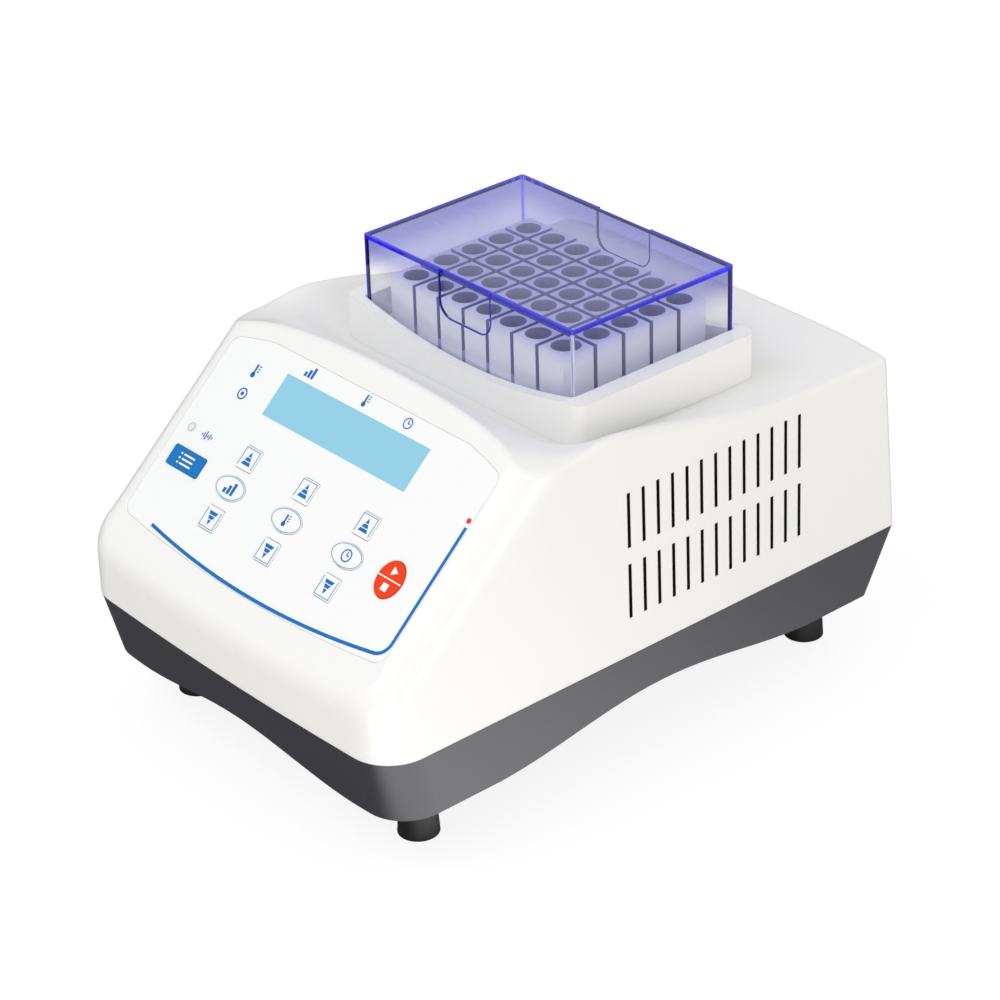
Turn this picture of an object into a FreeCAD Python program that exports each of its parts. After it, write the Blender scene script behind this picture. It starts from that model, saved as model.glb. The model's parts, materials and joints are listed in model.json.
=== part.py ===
import FreeCAD, Part
import math
import os

# Dry bath incubator: a kerfed 35-well aluminium block, heated from below, under a clear lift-off lid.
# Millimetres. +Z is up, -Y is the front with the control panel, +X is the device's right side.
# The origin is on the bench, under the middle of the casing's footprint.

# Casing footprint and heights
half_width = 101.3
half_depth = 144.45
seam_z = 55.2
wall = 2.8
side_draft = 1.1
rear_lean = 4.2
front_bow = 2.7
front_corner_r = 19.4
rear_corner_r = 4.0
shoulder_fillet = 3.0

# Sloping control panel
panel_tilt = 42.87
panel_setback = 12.25
panel_foot_z = 90.0
panel_edge_r = 15.0

# Top deck: a brow behind the panel, a dished floor round the pedestal and raised shoulders
valley_z = 136.5
brow_slope = 0.83
brow_foot_run = 112.2
brow_run = 35.0
brow_blend = 8.0
brow_core_z = 151.0
rear_rise = 3.5
shoulder_width = 11.3
shoulder_low_z = 138.2
shoulder_rise = 17.0
shoulder_run = 150.0
shoulder_roll = 3.0
deck_step_x = 18.0
deck_step_y = 24.0
brow_step = 10.0

# Sample block
well_columns = 7
well_rows = 5
well_pitch = 15.5
well_r = 5.5
well_depth = 38.0
well_tip = 2.5
kerf_width = 2.0
kerf_depth = 19.4
block_top_z = 170.8
block_height = 48.8
block_from_rear = 109.85
block_gap = 1.2

# Pedestal and lid
lid_wall = 2.4
lid_margin_x = 11.45
lid_margin_y = 6.2
lid_headroom = 16.95
lid_corner_r = 1.5
lid_gap = 0.5
ledge_drop = 23.3
ledge_t = 3.0
rim_drop = 11.8
rim_wall_x = 8.7
rim_wall_y = 5.1
rim_corner_r = 5.0
scoop_depth = 8.3
grip_half_width = 16.2
grip_height = 20.5
grip_depth = 0.9
grip_corner_r = 7.0

# Side vents
vent_columns = 13
vent_rows = 2
vent_pitch = 8.05
vent_lead = 47.0
vent_width = 1.7
vent_length = 24.8
vent_low_z = 72.6
vent_row_step = 32.3

# Base tray
tray_low_z = 25.0
tray_front_slope = 7.5
tray_side_slope = 1.5
tray_rear_slope = 14.5
tray_floor_z = 38.0
side_arch_z = 35.0
side_arch_from_foot = 16.8
front_arch_z = 34.0
front_arch_past_foot = 1.4
arch_points = 12
lip_height = 3.0
lip_t = 1.6
lip_gap = 0.5

# Feet and the screws that hold them
foot_from_side = 26.7
foot_from_front = 38.55
foot_from_rear = 28.65
foot_r = 8.8
foot_top_r = 7.6
foot_height = 18.0
foot_recess_r = 5.0
foot_recess = 5.0
foot_boss_r = 9.5
foot_bore_gap = 0.3
screw_r = 1.95
screw_gap = 0.05
screw_head_r = 3.8
screw_head = 2.2
screw_head_gap = 0.2
foot_screw_length = 24.0

# Casing screws through the tray
post_from_side = 7.3
post_from_front = 56.45
post_from_rear = 24.45
post_r = 5.0
post_rise = 20.0
casing_screw_length = 30.0
casing_screw_seat_z = 38.0

# Panel overlay, window, lamps and keys, in the panel's own plane: u runs up the slope
overlay_t = 0.6
overlay_from_side = 15.9
overlay_low_u = 4.2
overlay_top_u = 91.0
overlay_bow = 5.2
overlay_top_bow = 11.0
overlay_corner_r = 6.0
overlay_gap = 0.05
window_half_width = 45.9
window_low_u = 67.1
window_high_u = 87.2
window_t = 2.0
key_travel = 0.4
key_rise = 0.5
key_gap = 0.2
key_flange = 1.2
key_flange_t = 1.1
key_rest_gap = 0.05
column_x = (-37.5, 0.0, 38.9)
arrow_half = 5.1
arrow_corner_r = 0.8
up_key_u = 48.3
down_key_u = 19.4
oval_key_u = 34.1
oval_half_x = 9.0
oval_half_u = 5.2
program_key_inset = 16.7
program_key_u = 34.7
program_half_x = 10.5
program_half_u = 4.6
start_key_inset = 20.2
start_key_u = 34.5
start_half_x = 6.9
start_half_u = 8.2
run_lamp_inset = 8.0
run_lamp_u = 48.3
run_lamp_r = 1.5
power_lamp_inset = 1.8
power_lamp_u = 69.5
power_lamp_r = 1.1
lamp_rise = 0.2

# Key board behind the panel
board_t = 1.6
switch_body = 6.0
switch_height = 3.5
plunger_half = 1.6
plunger_height = 0.8
key_board_inset = 0.9
key_board_low_u = 11.0
key_board_high_u = 91.0
key_boss_inset_x = 6.0
key_boss_inset_u = 7.0
key_boss_r = 3.0
lcd_t = 5.6
lcd_margin = 3.2

# Heater stack under the block
spreader_t = 10.0
spreader_margin = 5.0
mat_t = 1.6
mat_inset = 6.0
guide_pin_r = 2.0
guide_pin_height = 8.0
guide_pin_gap = 0.1
foam_t = 5.0
foam_gap = 0.6
sensor_r = 2.0
sensor_length = 34.0
sensor_stub = 4.0
cutout_r = 8.0
cutout_t = 6.0
cutout_x = 34.0
cutout_tab_x = 4.0
cutout_tab_y = 3.2
cutout_tab_half_t = 1.0
cutout_tab_length = 7.0
chassis_z = 64.0
chassis_t = 1.5
chassis_half_x = 76.0
chassis_half_y = 58.0
heater_post_across = 7.0
heater_post_x = 50.0
heater_post_y = 36.0
chassis_post_r = 5.0
chassis_post_x = 68.0
chassis_post_y = 50.0
chassis_screw_length = 10.0

# Cooling fan
fan_size = 60.0
fan_t = 15.0
fan_bore_r = 28.0
fan_tip_gap = 1.0
fan_hub_r = 13.0
fan_blades = 7
fan_blade_pitch = 34.0
fan_blade_t = 1.2
fan_blade_half_chord = 9.0
fan_corner_r = 3.0
fan_hole_pitch = 50.0
fan_hole_gap = 0.2
fan_spoke_t = 2.5
fan_spoke_half = 1.6
fan_axle_r = 1.5
fan_axle_gap = 0.05
fan_rotor_gap = 0.5
fan_cap_t = 1.5
intake_slots = 7
intake_pitch = 7.0
intake_width = 3.0
intake_length = 46.0

# Main board and transformer
main_half_x = 66.0
main_half_y = 27.0
main_from_panel = 44.2
standoff_height = 6.0
standoff_inset = 5.0
standoff_across = 5.5
capacitor_x = -46.0
capacitor_y = 6.0
capacitor_r = 8.0
capacitor_height = 22.0
small_capacitor_x = -26.0
small_capacitor_y = 8.0
small_capacitor_r = 5.0
small_capacitor_height = 16.0
relay_x = 2.0
relay_y = 8.0
relay_half_x = 9.5
relay_half_y = 7.5
relay_height = 15.0
heatsink_x = 34.0
heatsink_y = 4.0
heatsink_half_x = 14.0
heatsink_half_y = 3.0
heatsink_height = 20.0
terminal_y = -19.0
terminal_half_y = 5.0
terminal_height = 11.0
mains_terminal_x = -40.0
mains_terminal_half_x = 8.0
signal_terminal_half_x = 12.0
chip_x = 40.0
chip_y = -14.0
chip_half = 7.0
chip_t = 2.4
transformer_x = -52.0
transformer_from_rear = 28.45
core_x = 54.0
core_y = 17.0
core_z = 44.0
coil_x = 34.0
coil_y = 31.0
coil_z = 29.0

# Rear recess with the mains inlet, its fuse drawer and the power switch
recess_depth = 7.45
recess_x0 = -6.0
recess_x1 = 74.0
recess_z0 = 64.0
recess_z1 = 103.0
inlet_x = 43.0
inlet_z = 83.5
inlet_flange_half_x = 25.0
inlet_flange_half_z = 16.5
inlet_flange_t = 2.0
inlet_body_half_x = 14.0
inlet_body_half_z = 14.5
inlet_body_depth = 26.0
inlet_screw_inset = 5.0
inlet_screw_length = 8.0
inlet_screw_head_r = 3.2
inlet_screw_head = 1.6
socket_z = 88.0
socket_half_x = 12.1
socket_half_z = 8.2
socket_corner = 5.0
socket_depth = 17.0
blade_x = 4.0
blade_t = 2.0
blade_length = 14.0
blade_pitch = 7.0
blade_rise = 2.0
drawer_z = 73.5
drawer_half_x = 11.0
drawer_half_z = 3.3
drawer_depth = 22.0
drawer_gap = 0.25
drawer_back_gap = 0.6
drawer_back_t = 3.0
drawer_front_t = 1.6
drawer_pull = 1.2
fuse_r = 2.5
fuse_length = 18.0
fuse_gap = 0.4
fuse_rise = 0.2
switch_x = 6.0
switch_flange_half_x = 7.5
switch_flange_half_z = 10.5
switch_flange_t = 2.0
switch_half_x = 6.5
switch_half_z = 9.4
switch_depth = 14.0
switch_back_t = 3.0
rocker_half_x = 5.0
rocker_half_z = 7.3
rocker_proud = 2.2
rocker_axis_depth = 3.0
rocker_t = 7.2
rocker_dish = 1.3
rocker_dish_r = 24.0
rocker_tilt = 8.0
rocker_gap = 0.35
rocker_end_gap = 0.65
rocker_pin_r = 1.2
rocker_pin_length = 0.9
rocker_pin_gap = 0.1

# Places that follow from the dimensions above
V = FreeCAD.Vector
mid_y = half_depth - block_from_rear
panel_foot_y = panel_setback - half_depth
brow_foot_y = panel_foot_y + brow_foot_run
shoulder_front_y = brow_foot_y - brow_run
shoulder_x = half_width - shoulder_width
lid_top_z = block_top_z + lid_headroom
ledge_z = block_top_z - ledge_drop
rim_z = block_top_z - rim_drop
block_bottom_z = block_top_z - block_height
block_half_x = well_columns * well_pitch / 2
block_half_y = well_rows * well_pitch / 2
lid_half_x = block_half_x + lid_margin_x
lid_half_y = block_half_y + lid_margin_y
rim_half_x = lid_half_x + rim_wall_x
rim_half_y = lid_half_y + rim_wall_y
spreader_z = block_bottom_z - spreader_t
mat_z = spreader_z - mat_t
rotor_top_z = chassis_z + fan_t - 1
vent_first_y = mid_y - vent_lead
foot_x = half_width - foot_from_side
foot_front_y = foot_from_front - half_depth
foot_rear_y = half_depth - foot_from_rear
post_x = half_width - post_from_side
overlay_half_width = half_width - overlay_from_side
key_board_half_width = overlay_half_width - key_board_inset
program_key_x = program_key_inset - overlay_half_width
start_key_x = overlay_half_width - start_key_inset
main_y = panel_foot_y + main_from_panel
transformer_y = half_depth - transformer_from_rear
recess_y = half_depth - recess_depth


def box(x0, x1, y0, y1, z0, z1):
    """A block given by its two corners."""
    return Part.makeBox(x1 - x0, y1 - y0, z1 - z0, V(x0, y0, z0))


def centred_box(half_x, half_y, z0, z1, x=0.0, y=0.0):
    """A block centred on x and y."""
    return box(x - half_x, x + half_x, y - half_y, y + half_y, z0, z1)


def upright_edges(shape):
    """The edges that run along Z."""
    return [e for e in shape.Edges if abs(e.tangentAt(e.FirstParameter).z) > 0.999]


def rising_edges(shape):
    """The edges that run up along Z, or lean a little."""
    return [e for e in shape.Edges if abs(e.tangentAt(e.FirstParameter).z) > 0.9]


def rounded_box(half_x, half_y, z0, z1, r, x=0.0, y=0.0):
    """A centred block with rounded upright corners."""
    solid = centred_box(half_x, half_y, z0, z1, x, y)
    return solid.makeFillet(r, upright_edges(solid))


def rod(x, y, z0, z1, r):
    """A round bar along Z."""
    return Part.makeCylinder(r, z1 - z0, V(x, y, z0))


def hex_bar(x, y, z0, z1, across):
    """A six-sided bar along Z, by its width across flats."""
    radius = across / math.sqrt(3)
    corners = [V(x + radius * math.cos(math.radians(60 * i)), y + radius * math.sin(math.radians(60 * i)), z0)
               for i in range(7)]
    return Part.Face(Part.makePolygon(corners)).extrude(V(0, 0, z1 - z0))


def fused(solids):
    """Many solids as one shape."""
    return solids[0].multiFuse(solids[1:]).removeSplitter() if len(solids) > 1 else solids[0]


def ramp(t):
    """A smooth step from 0 to 1."""
    t = min(max(t, 0.0), 1.0)
    return t * t * (3 - 2 * t)


def edge_middle(edge):
    """The point halfway along an edge."""
    return edge.valueAt((edge.FirstParameter + edge.LastParameter) / 2)


def plan_wire(z, half_w, y_front, y_rear, r_front, r_rear):
    """The casing's outline from above: bowed front, straight sides and back, tangent corners."""
    bow_r = (half_w**2 + front_bow**2) / (2 * front_bow)
    bow_y = y_front + bow_r
    corner_x = half_w - r_front
    corner_y = bow_y - math.sqrt((bow_r - r_front) ** 2 - corner_x**2)
    reach = bow_r / (bow_r - r_front)
    bow_end = (corner_x * reach, bow_y + (corner_y - bow_y) * reach)
    half_angle = math.atan2(bow_end[1] - corner_y, bow_end[0] - corner_x) / 2
    corner_mid = (corner_x + r_front * math.cos(half_angle), corner_y + r_front * math.sin(half_angle))
    cut_back = r_rear * (1 - math.sqrt(0.5))
    right = [bow_end, corner_mid, (half_w, corner_y), (half_w, y_rear - r_rear),
             (half_w - cut_back, y_rear - cut_back), (half_w - r_rear, y_rear)]
    a = [V(x, y, z) for x, y in right]
    b = [V(-x, y, z) for x, y in right]
    return Part.Wire([
        Part.Arc(b[0], V(0, y_front, z), a[0]).toShape(),
        Part.Arc(a[0], a[1], a[2]).toShape(),
        Part.makeLine(a[2], a[3]),
        Part.Arc(a[3], a[4], a[5]).toShape(),
        Part.makeLine(a[5], b[5]),
        Part.Arc(b[5], b[4], b[3]).toShape(),
        Part.makeLine(b[3], b[2]),
        Part.Arc(b[2], b[1], b[0]).toShape(),
    ])


def deck_height(x, y):
    """Height of the deck: brow and valley on the centre line, blended out to the shoulders."""
    ahead = brow_foot_y - y
    brow = brow_slope * (ahead + math.sqrt(ahead**2 + brow_blend**2)) / 2
    centre = valley_z + brow + rear_rise * ramp((y - mid_y) / (half_depth - mid_y))
    side = shoulder_low_z + shoulder_rise * (1 - ramp((y - shoulder_front_y) / shoulder_run))
    arched = 1 - ramp((y - shoulder_front_y) / (brow_foot_y - shoulder_front_y))
    bowl = ramp((abs(x) - lid_half_x) / (shoulder_x - lid_half_x))
    share = arched * min(abs(x) / shoulder_x, 1) ** 2 + (1 - arched) * bowl
    roll = shoulder_roll * (max(abs(x) - shoulder_x, 0) / (half_width - shoulder_x)) ** 2
    fade = 1 - ramp((y - mid_y) / (half_depth - mid_y))
    return centre + (side - centre) * share - roll * fade


def above_deck():
    """The space over the deck."""
    count_x = math.ceil(half_width / deck_step_x) + 1
    count_brow = math.ceil((brow_foot_y - shoulder_front_y) / brow_step) + 3
    count_y = math.ceil(half_depth / deck_step_y) + 2
    stations = [brow_foot_y - i * brow_step for i in range(count_brow, -3, -1)]
    stations += [stations[-1] + i * deck_step_y for i in range(1, count_y)]
    columns = [i * deck_step_x for i in range(-count_x, count_x + 1)]
    surface = Part.BSplineSurface()
    surface.interpolate([[V(x, y, deck_height(x, y)) for y in stations] for x in columns])
    return surface.toShape().extrude(V(0, 0, lid_top_z))


def above_ceiling():
    """The space over the flat ceiling inside the casing, which steps up under the brow."""
    low_z = valley_z - wall
    rise = brow_core_z - low_z
    reach = 2 * half_depth
    points = [(reach, low_z), (brow_foot_y, low_z), (brow_foot_y - rise / brow_slope, brow_core_z),
              (-reach, brow_core_z), (-reach, 2 * lid_top_z), (reach, 2 * lid_top_z)]
    return prism(points, True)


def on_panel(shape):
    """Move a shape from the panel's own axes, x, u and outward n, to its place."""
    shape.Placement = FreeCAD.Placement(
        V(0, panel_foot_y, panel_foot_z), FreeCAD.Rotation(V(1, 0, 0), panel_tilt)
    ).multiply(shape.Placement)
    return shape


def panel_height(point):
    """Distance of a point out of the panel's plane."""
    tilt = math.radians(panel_tilt)
    return (point.z - panel_foot_z) * math.cos(tilt) - (point.y - panel_foot_y) * math.sin(tilt)


def prism(points, along_x):
    """A prism across the casing, from a section given as (y, z) points, or along it from (x, z) points."""
    start = [V(-2 * half_width, s, z) if along_x else V(s, -2 * half_depth, z) for s, z in points]
    reach = V(4 * half_width, 0, 0) if along_x else V(0, 4 * half_depth, 0)
    return Part.Face(Part.makePolygon(start + start[:1])).extrude(reach)


def casing_form(inset):
    """The upper casing's outer form, or the same form set in by a wall."""
    low = seam_z - inset
    high = lid_top_z
    draft = math.tan(math.radians(side_draft))
    lean = math.tan(math.radians(rear_lean))
    half_w = half_width - inset
    rear = half_depth - inset
    front = -2 * half_depth
    sides = [(-half_w - (seam_z - low) * draft, low), (half_w + (seam_z - low) * draft, low),
             (half_w - (high - seam_z) * draft, high), (-half_w + (high - seam_z) * draft, high)]
    back = [(front, low), (rear + (seam_z - low) * lean, low),
            (rear - (high - seam_z) * lean, high), (front, high)]
    bow_r = (half_w**2 + front_bow**2) / (2 * front_bow)
    form = prism(sides, False).common(prism(back, True))
    form = form.common(rod(0, inset - half_depth + bow_r, low, high, bow_r))
    corners = [e for e in rising_edges(form) if edge_middle(e).y < 0]
    form = form.makeFillet(front_corner_r - inset, corners)
    corners = [e for e in rising_edges(form) if edge_middle(e).y > half_depth / 2]
    form = form.makeFillet(rear_corner_r - inset, corners)
    above_panel = box(-2 * half_width, 2 * half_width, -half_depth, 2 * half_depth, -inset, half_depth)
    over = above_ceiling() if inset else above_deck()
    form = form.cut(on_panel(above_panel)).cut(over).removeSplitter()
    edges = [e for e in form.Edges if abs(panel_height(edge_middle(e)) + inset) < 0.05]
    crest = max(edges, key=lambda e: edge_middle(e).z)
    edges = [e for e in edges if not e.isSame(crest)]
    if inset:
        bevel = (panel_edge_r * (math.sqrt(2) - 1) + inset) * math.sqrt(2) - 2 * inset
        return form.makeChamfer(bevel, edges)
    return form.makeFillet(panel_edge_r, edges)


def soften_deck_edges(form):
    """Round the deck's side and rear edges, and with them the crest they run on into."""
    def is_outer(edge):
        middle = edge_middle(edge)
        return middle.z > valley_z - 2 and (abs(middle.x) > shoulder_x or middle.y > mid_y + half_depth / 2)

    return form.makeFillet(shoulder_fillet, [e for e in form.Edges if is_outer(e)])


def pedestal():
    """The raised rim that the lid drops into, with a shallow finger scoop in its front and back walls."""
    body = rounded_box(rim_half_x, rim_half_y, valley_z - wall, rim_z, rim_corner_r, y=mid_y)
    scoop_r = (lid_half_x**2 + scoop_depth**2) / (2 * scoop_depth)
    start = V(0, mid_y - 2 * rim_half_y, rim_z - scoop_depth + scoop_r)
    return body.cut(Part.makeCylinder(scoop_r, 4 * rim_half_y, start, V(0, 1, 0)))


def panel_ring(half_x, low_u, high_u, low_bow, high_bow, r):
    """Outline on the panel with bowed lower and upper edges and rounded lower corners."""
    low_r = (half_x**2 + low_bow**2) / (2 * low_bow)
    plate = centred_box(half_x, (high_u - low_u) / 2 + low_bow, 0, 1, y=(high_u + low_u) / 2)
    low_disc = Part.makeCylinder(low_r, 1, V(0, low_u - low_bow + low_r, 0))
    plate = plate.common(low_disc)
    high_r = (half_x**2 + high_bow**2) / (2 * high_bow)
    plate = plate.common(Part.makeCylinder(high_r, 1, V(0, high_u + high_bow - high_r, 0)))
    return plate.makeFillet(r, upright_edges(plate))


def overlay_plate(gap, n0, n1):
    """The printed overlay's plate between two heights over the panel."""
    plate = panel_ring(overlay_half_width - gap, overlay_low_u + gap, overlay_top_u - gap,
                       overlay_bow, overlay_top_bow, overlay_corner_r)
    face = max(plate.Faces, key=lambda f: f.CenterOfMass.z)
    flat = face.copy()
    flat.translate(V(0, 0, n0 - face.CenterOfMass.z))
    return flat.extrude(V(0, 0, n1 - n0))


def rect_key(x, u, half_x, half_u, r, grow, n0, n1):
    """A rounded rectangular key's outline, grown by a clearance."""
    return rounded_box(half_x + grow, half_u + grow, n0, n1, r + grow, x, u)


def oval_key(x, u, half_x, half_u, grow, n0, n1):
    """An oval key's outline, grown by a clearance."""
    long_x = half_x >= half_u
    major = max(half_x, half_u) + grow
    minor = min(half_x, half_u) + grow
    direction = V(1, 0, 0) if long_x else V(0, 1, 0)
    ellipse = Part.Ellipse(V(x, u, n0) + direction * major,
                           V(x, u, n0) + V(0, 0, 1).cross(direction) * minor, V(x, u, n0))
    return Part.Face(Part.Wire([ellipse.toShape()])).extrude(V(0, 0, n1 - n0))


def key_outlines():
    """Every key by name, as a function of grow, n0 and n1, with its centre."""
    keys = {}
    names = ("segment", "temperature", "time")
    for name, x in zip(names, column_x):
        for word, u in (("up", up_key_u), ("down", down_key_u)):
            keys[f"{name}_{word}_key"] = (
                x, u,
                lambda g, a, b, x=x, u=u: rect_key(x, u, arrow_half, arrow_half, arrow_corner_r, g, a, b))
        keys[f"{name}_select_key"] = (
            x, oval_key_u,
            lambda g, a, b, x=x: oval_key(x, oval_key_u, oval_half_x, oval_half_u, g, a, b))
    keys["program_key"] = (
        program_key_x, program_key_u,
        lambda g, a, b: rect_key(program_key_x, program_key_u, program_half_x, program_half_u,
                                 arrow_corner_r, g, a, b))
    keys["start_stop_key"] = (
        start_key_x, start_key_u,
        lambda g, a, b: oval_key(start_key_x, start_key_u, start_half_x, start_half_u, g, a, b))
    return keys


keys = key_outlines()
key_low_n = -wall - key_rest_gap - key_flange_t
switch_top_n = key_low_n - key_travel - key_rest_gap
board_top_n = switch_top_n - plunger_height - switch_height
lamps = {
    "run_lamp": (run_lamp_inset - overlay_half_width, run_lamp_u, run_lamp_r),
    "power_lamp": (overlay_half_width - power_lamp_inset, power_lamp_u, power_lamp_r),
}
key_boss_places = [(side * (key_board_half_width - key_boss_inset_x), u) for side in (-1, 1)
                   for u in (key_board_low_u + key_boss_inset_u, key_board_high_u - key_boss_inset_u)]
window_mid_u = (window_low_u + window_high_u) / 2
window_half_u = (window_high_u - window_low_u) / 2


def vent_slots():
    """The rows of upright slots, cut through both side walls."""
    slots = []
    for side in (-1, 1):
        for row in range(vent_rows):
            low = vent_low_z + row * vent_row_step
            for column in range(vent_columns):
                y = vent_first_y + column * vent_pitch
                slot = centred_box(4 * wall, vent_width / 2, low, low + vent_length, side * half_width, y)
                slots.append(slot)
    return Part.makeCompound(slots)


def rear_recess(grow):
    """The pocket in the back wall, or the wall round it when grown."""
    return box(recess_x0 - grow, recess_x1 + grow, recess_y - grow, 2 * half_depth,
               recess_z0 - grow, recess_z1 + grow)


def socket_outline(x, z, half_x, half_z, corner, y0, y1):
    """A rectangle with its two upper corners cut off, as a prism along Y."""
    points = [(x - half_x, z - half_z), (x + half_x, z - half_z),
              (x + half_x, z + half_z - corner), (x + half_x - corner, z + half_z),
              (x - half_x + corner, z + half_z), (x - half_x, z + half_z - corner)]
    wire = Part.makePolygon([V(px, y0, pz) for px, pz in points + points[:1]])
    return Part.Face(wire).extrude(V(0, y1 - y0, 0))


def post_places():
    """Where the four casing screws stand."""
    rows = (post_from_front - half_depth, half_depth - post_from_rear)
    return [(side * post_x, y) for side in (-1, 1) for y in rows]


def foot_places():
    """Where the four feet stand, by name."""
    return {f"foot_{end}_{hand}": (side * foot_x, y)
            for hand, side in (("left", -1), ("right", 1))
            for end, y in (("front", foot_front_y), ("rear", foot_rear_y))}


def make_upper_casing():
    outer = soften_deck_edges(casing_form(0.0)).fuse(pedestal())
    cavity = casing_form(wall).cut(rear_recess(wall))
    foam_half_x = block_half_x + foam_gap + foam_t + block_gap
    foam_half_y = block_half_y + foam_gap + foam_t + block_gap
    under_ledge = centred_box(foam_half_x, foam_half_y, valley_z - 3 * wall, ledge_z - ledge_t, y=mid_y)
    lid_pocket = rounded_box(lid_half_x + lid_gap, lid_half_y + lid_gap, ledge_z, lid_top_z,
                             lid_corner_r, y=mid_y)
    block_hole = centred_box(block_half_x + block_gap, block_half_y + block_gap, valley_z, lid_top_z, y=mid_y)
    casing = outer.cut(cavity).cut(under_ledge).cut(lid_pocket).cut(block_hole)
    casing = casing.cut(rear_recess(0.0)).cut(vent_slots())
    casing = casing.cut(on_panel(overlay_plate(0.0, -overlay_t, wall)))
    holes = [shape(key_gap, -2 * wall, wall) for x, u, shape in keys.values()]
    holes.append(centred_box(window_half_width, window_half_u, -2 * wall, wall, y=window_mid_u))
    holes += [rod(x, u, -2 * wall, wall, r + screw_gap) for x, u, r in lamps.values()]
    casing = casing.cut(on_panel(Part.makeCompound(holes)))
    bosses = [on_panel(rod(x, u, board_top_n, -wall / 2, key_boss_r)) for x, u in key_boss_places]
    for x, y in post_places():
        bore = rod(x, y, seam_z - wall, seam_z + post_rise - wall, screw_r + screw_gap)
        bosses.append(rod(x, y, seam_z, seam_z + post_rise, post_r).cut(bore))
    bosses = Part.makeCompound(bosses).common(casing_form(overlay_t))
    casing = casing.cut(inlet_hole()).cut(switch_hole()).cut(inlet_screw_holes())
    return fused([casing] + bosses.Solids)


def inlet_hole():
    """The cut-out in the recess for the inlet's body."""
    return box(inlet_x - inlet_body_half_x, inlet_x + inlet_body_half_x, recess_y - 2 * wall, recess_y + wall,
               inlet_z - inlet_body_half_z, inlet_z + inlet_body_half_z)


def inlet_screw_holes():
    """The holes for the two screws beside the socket."""
    holes = []
    for side in (-1, 1):
        start = V(inlet_x + side * (inlet_flange_half_x - inlet_screw_inset), recess_y - 2 * wall, inlet_z)
        holes.append(Part.makeCylinder(screw_r + screw_gap, 4 * wall, start, V(0, 1, 0)))
    return Part.makeCompound(holes)


def switch_hole():
    """The cut-out in the recess for the power switch's body."""
    return box(switch_x - switch_half_x, switch_x + switch_half_x, recess_y - 2 * wall, recess_y + wall,
               inlet_z - switch_half_z, inlet_z + switch_half_z)


def tray_form(inset, z0, z1):
    """The base tray's tapering form between two heights."""
    def outline(z):
        down = (seam_z - z) / (seam_z - tray_low_z)
        return plan_wire(z, half_width - inset - tray_side_slope * down,
                         -half_depth + inset + tray_front_slope * down,
                         half_depth - inset - tray_rear_slope * down,
                         front_corner_r - inset, max(rear_corner_r - inset, 1.0))

    return Part.makeLoft([outline(z0), outline(z1)], True, True)


def lip_form(inset, z0, z1):
    """The upright form of the lip that locates the casing on the tray."""
    outline = plan_wire(z0, half_width - inset, inset - half_depth, half_depth - inset,
                        front_corner_r - inset, max(rear_corner_r - inset, 1.0))
    return Part.Face(outline).extrude(V(0, 0, z1 - z0))


def arch(high, start, end, along_x):
    """The space under a smooth arch that runs across the tray's underside."""
    low = tray_low_z - 0.1
    points = []
    for i in range(arch_points + 1):
        s = start + (end - start) * i / arch_points
        z = low + (high - low) * (1 - math.cos(2 * math.pi * i / arch_points)) / 2
        points.append(V(-2 * half_width, s, z) if along_x else V(s, -2 * half_depth, z))
    curve = Part.BSplineCurve()
    curve.interpolate(points)
    first, last = points[0], points[-1]
    foot_first = V(first.x, first.y, 0)
    foot_last = V(last.x, last.y, 0)
    wire = Part.Wire([curve.toShape(), Part.makeLine(last, foot_last),
                      Part.makeLine(foot_last, foot_first), Part.makeLine(foot_first, first)])
    reach = V(4 * half_width, 0, 0) if along_x else V(0, 4 * half_depth, 0)
    return Part.Face(wire).extrude(reach)


def make_base_tray():
    outer = tray_form(0.0, tray_low_z, seam_z)
    arch_front_y = foot_front_y + side_arch_from_foot
    arch_rear_y = foot_rear_y - side_arch_from_foot
    front_arch_half = foot_x + front_arch_past_foot
    outer = outer.cut(arch(side_arch_z, arch_front_y, arch_rear_y, True))
    outer = outer.cut(arch(front_arch_z, -front_arch_half, front_arch_half, False))
    tray = outer.cut(tray_form(wall, tray_floor_z, seam_z + 1))
    bore = lip_form(wall + lip_gap + lip_t, seam_z - 2 * lip_height, seam_z + 2 * lip_height)
    lip = lip_form(wall + lip_gap, seam_z - lip_height, seam_z + lip_height).cut(bore)
    ledge = tray_form(wall / 2, seam_z - lip_height, seam_z).cut(bore)
    posts = [rod(x, y, tray_floor_z - wall, seam_z, post_r) for x, y in post_places()]
    posts += [rod(x, y, tray_floor_z - wall, chassis_z - chassis_t, chassis_post_r)
              for x, y in chassis_places()]
    posts += [rod(x, y, foot_height, tray_floor_z, foot_boss_r) for x, y in foot_places().values()]
    tray = fused([tray, lip, ledge] + posts)
    for x, y in post_places():
        tray = tray.cut(rod(x, y, 0, seam_z + lip_height + 1, screw_r + screw_gap))
        tray = tray.cut(rod(x, y, 0, casing_screw_seat_z, screw_head_r + screw_head_gap))
        tray = tray.cut(rod(x, y, seam_z, seam_z + 2 * lip_height, post_r + lip_gap))
    for x, y in foot_places().values():
        tray = tray.cut(rod(x, y, 0, foot_recess + foot_screw_length + 1, screw_r + screw_gap))
    for x, y in chassis_places():
        tray = tray.cut(rod(x, y, tray_floor_z, chassis_z, screw_r + screw_gap))
    first = -(intake_slots - 1) / 2 * intake_pitch
    for i in range(intake_slots):
        x = first + i * intake_pitch
        tray = tray.cut(centred_box(intake_width / 2, intake_length / 2, 0, tray_floor_z + wall, x, mid_y))
    return tray


def chassis_places():
    """Where the chassis plate is screwed to the tray's posts."""
    return [(sx * chassis_post_x, mid_y + sy * chassis_post_y) for sx in (-1, 1) for sy in (-1, 1)]


def heater_places():
    """Where the heater's spacers stand on the chassis plate."""
    return [(sx * heater_post_x, mid_y + sy * heater_post_y) for sx in (-1, 1) for sy in (-1, 1)]


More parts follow.
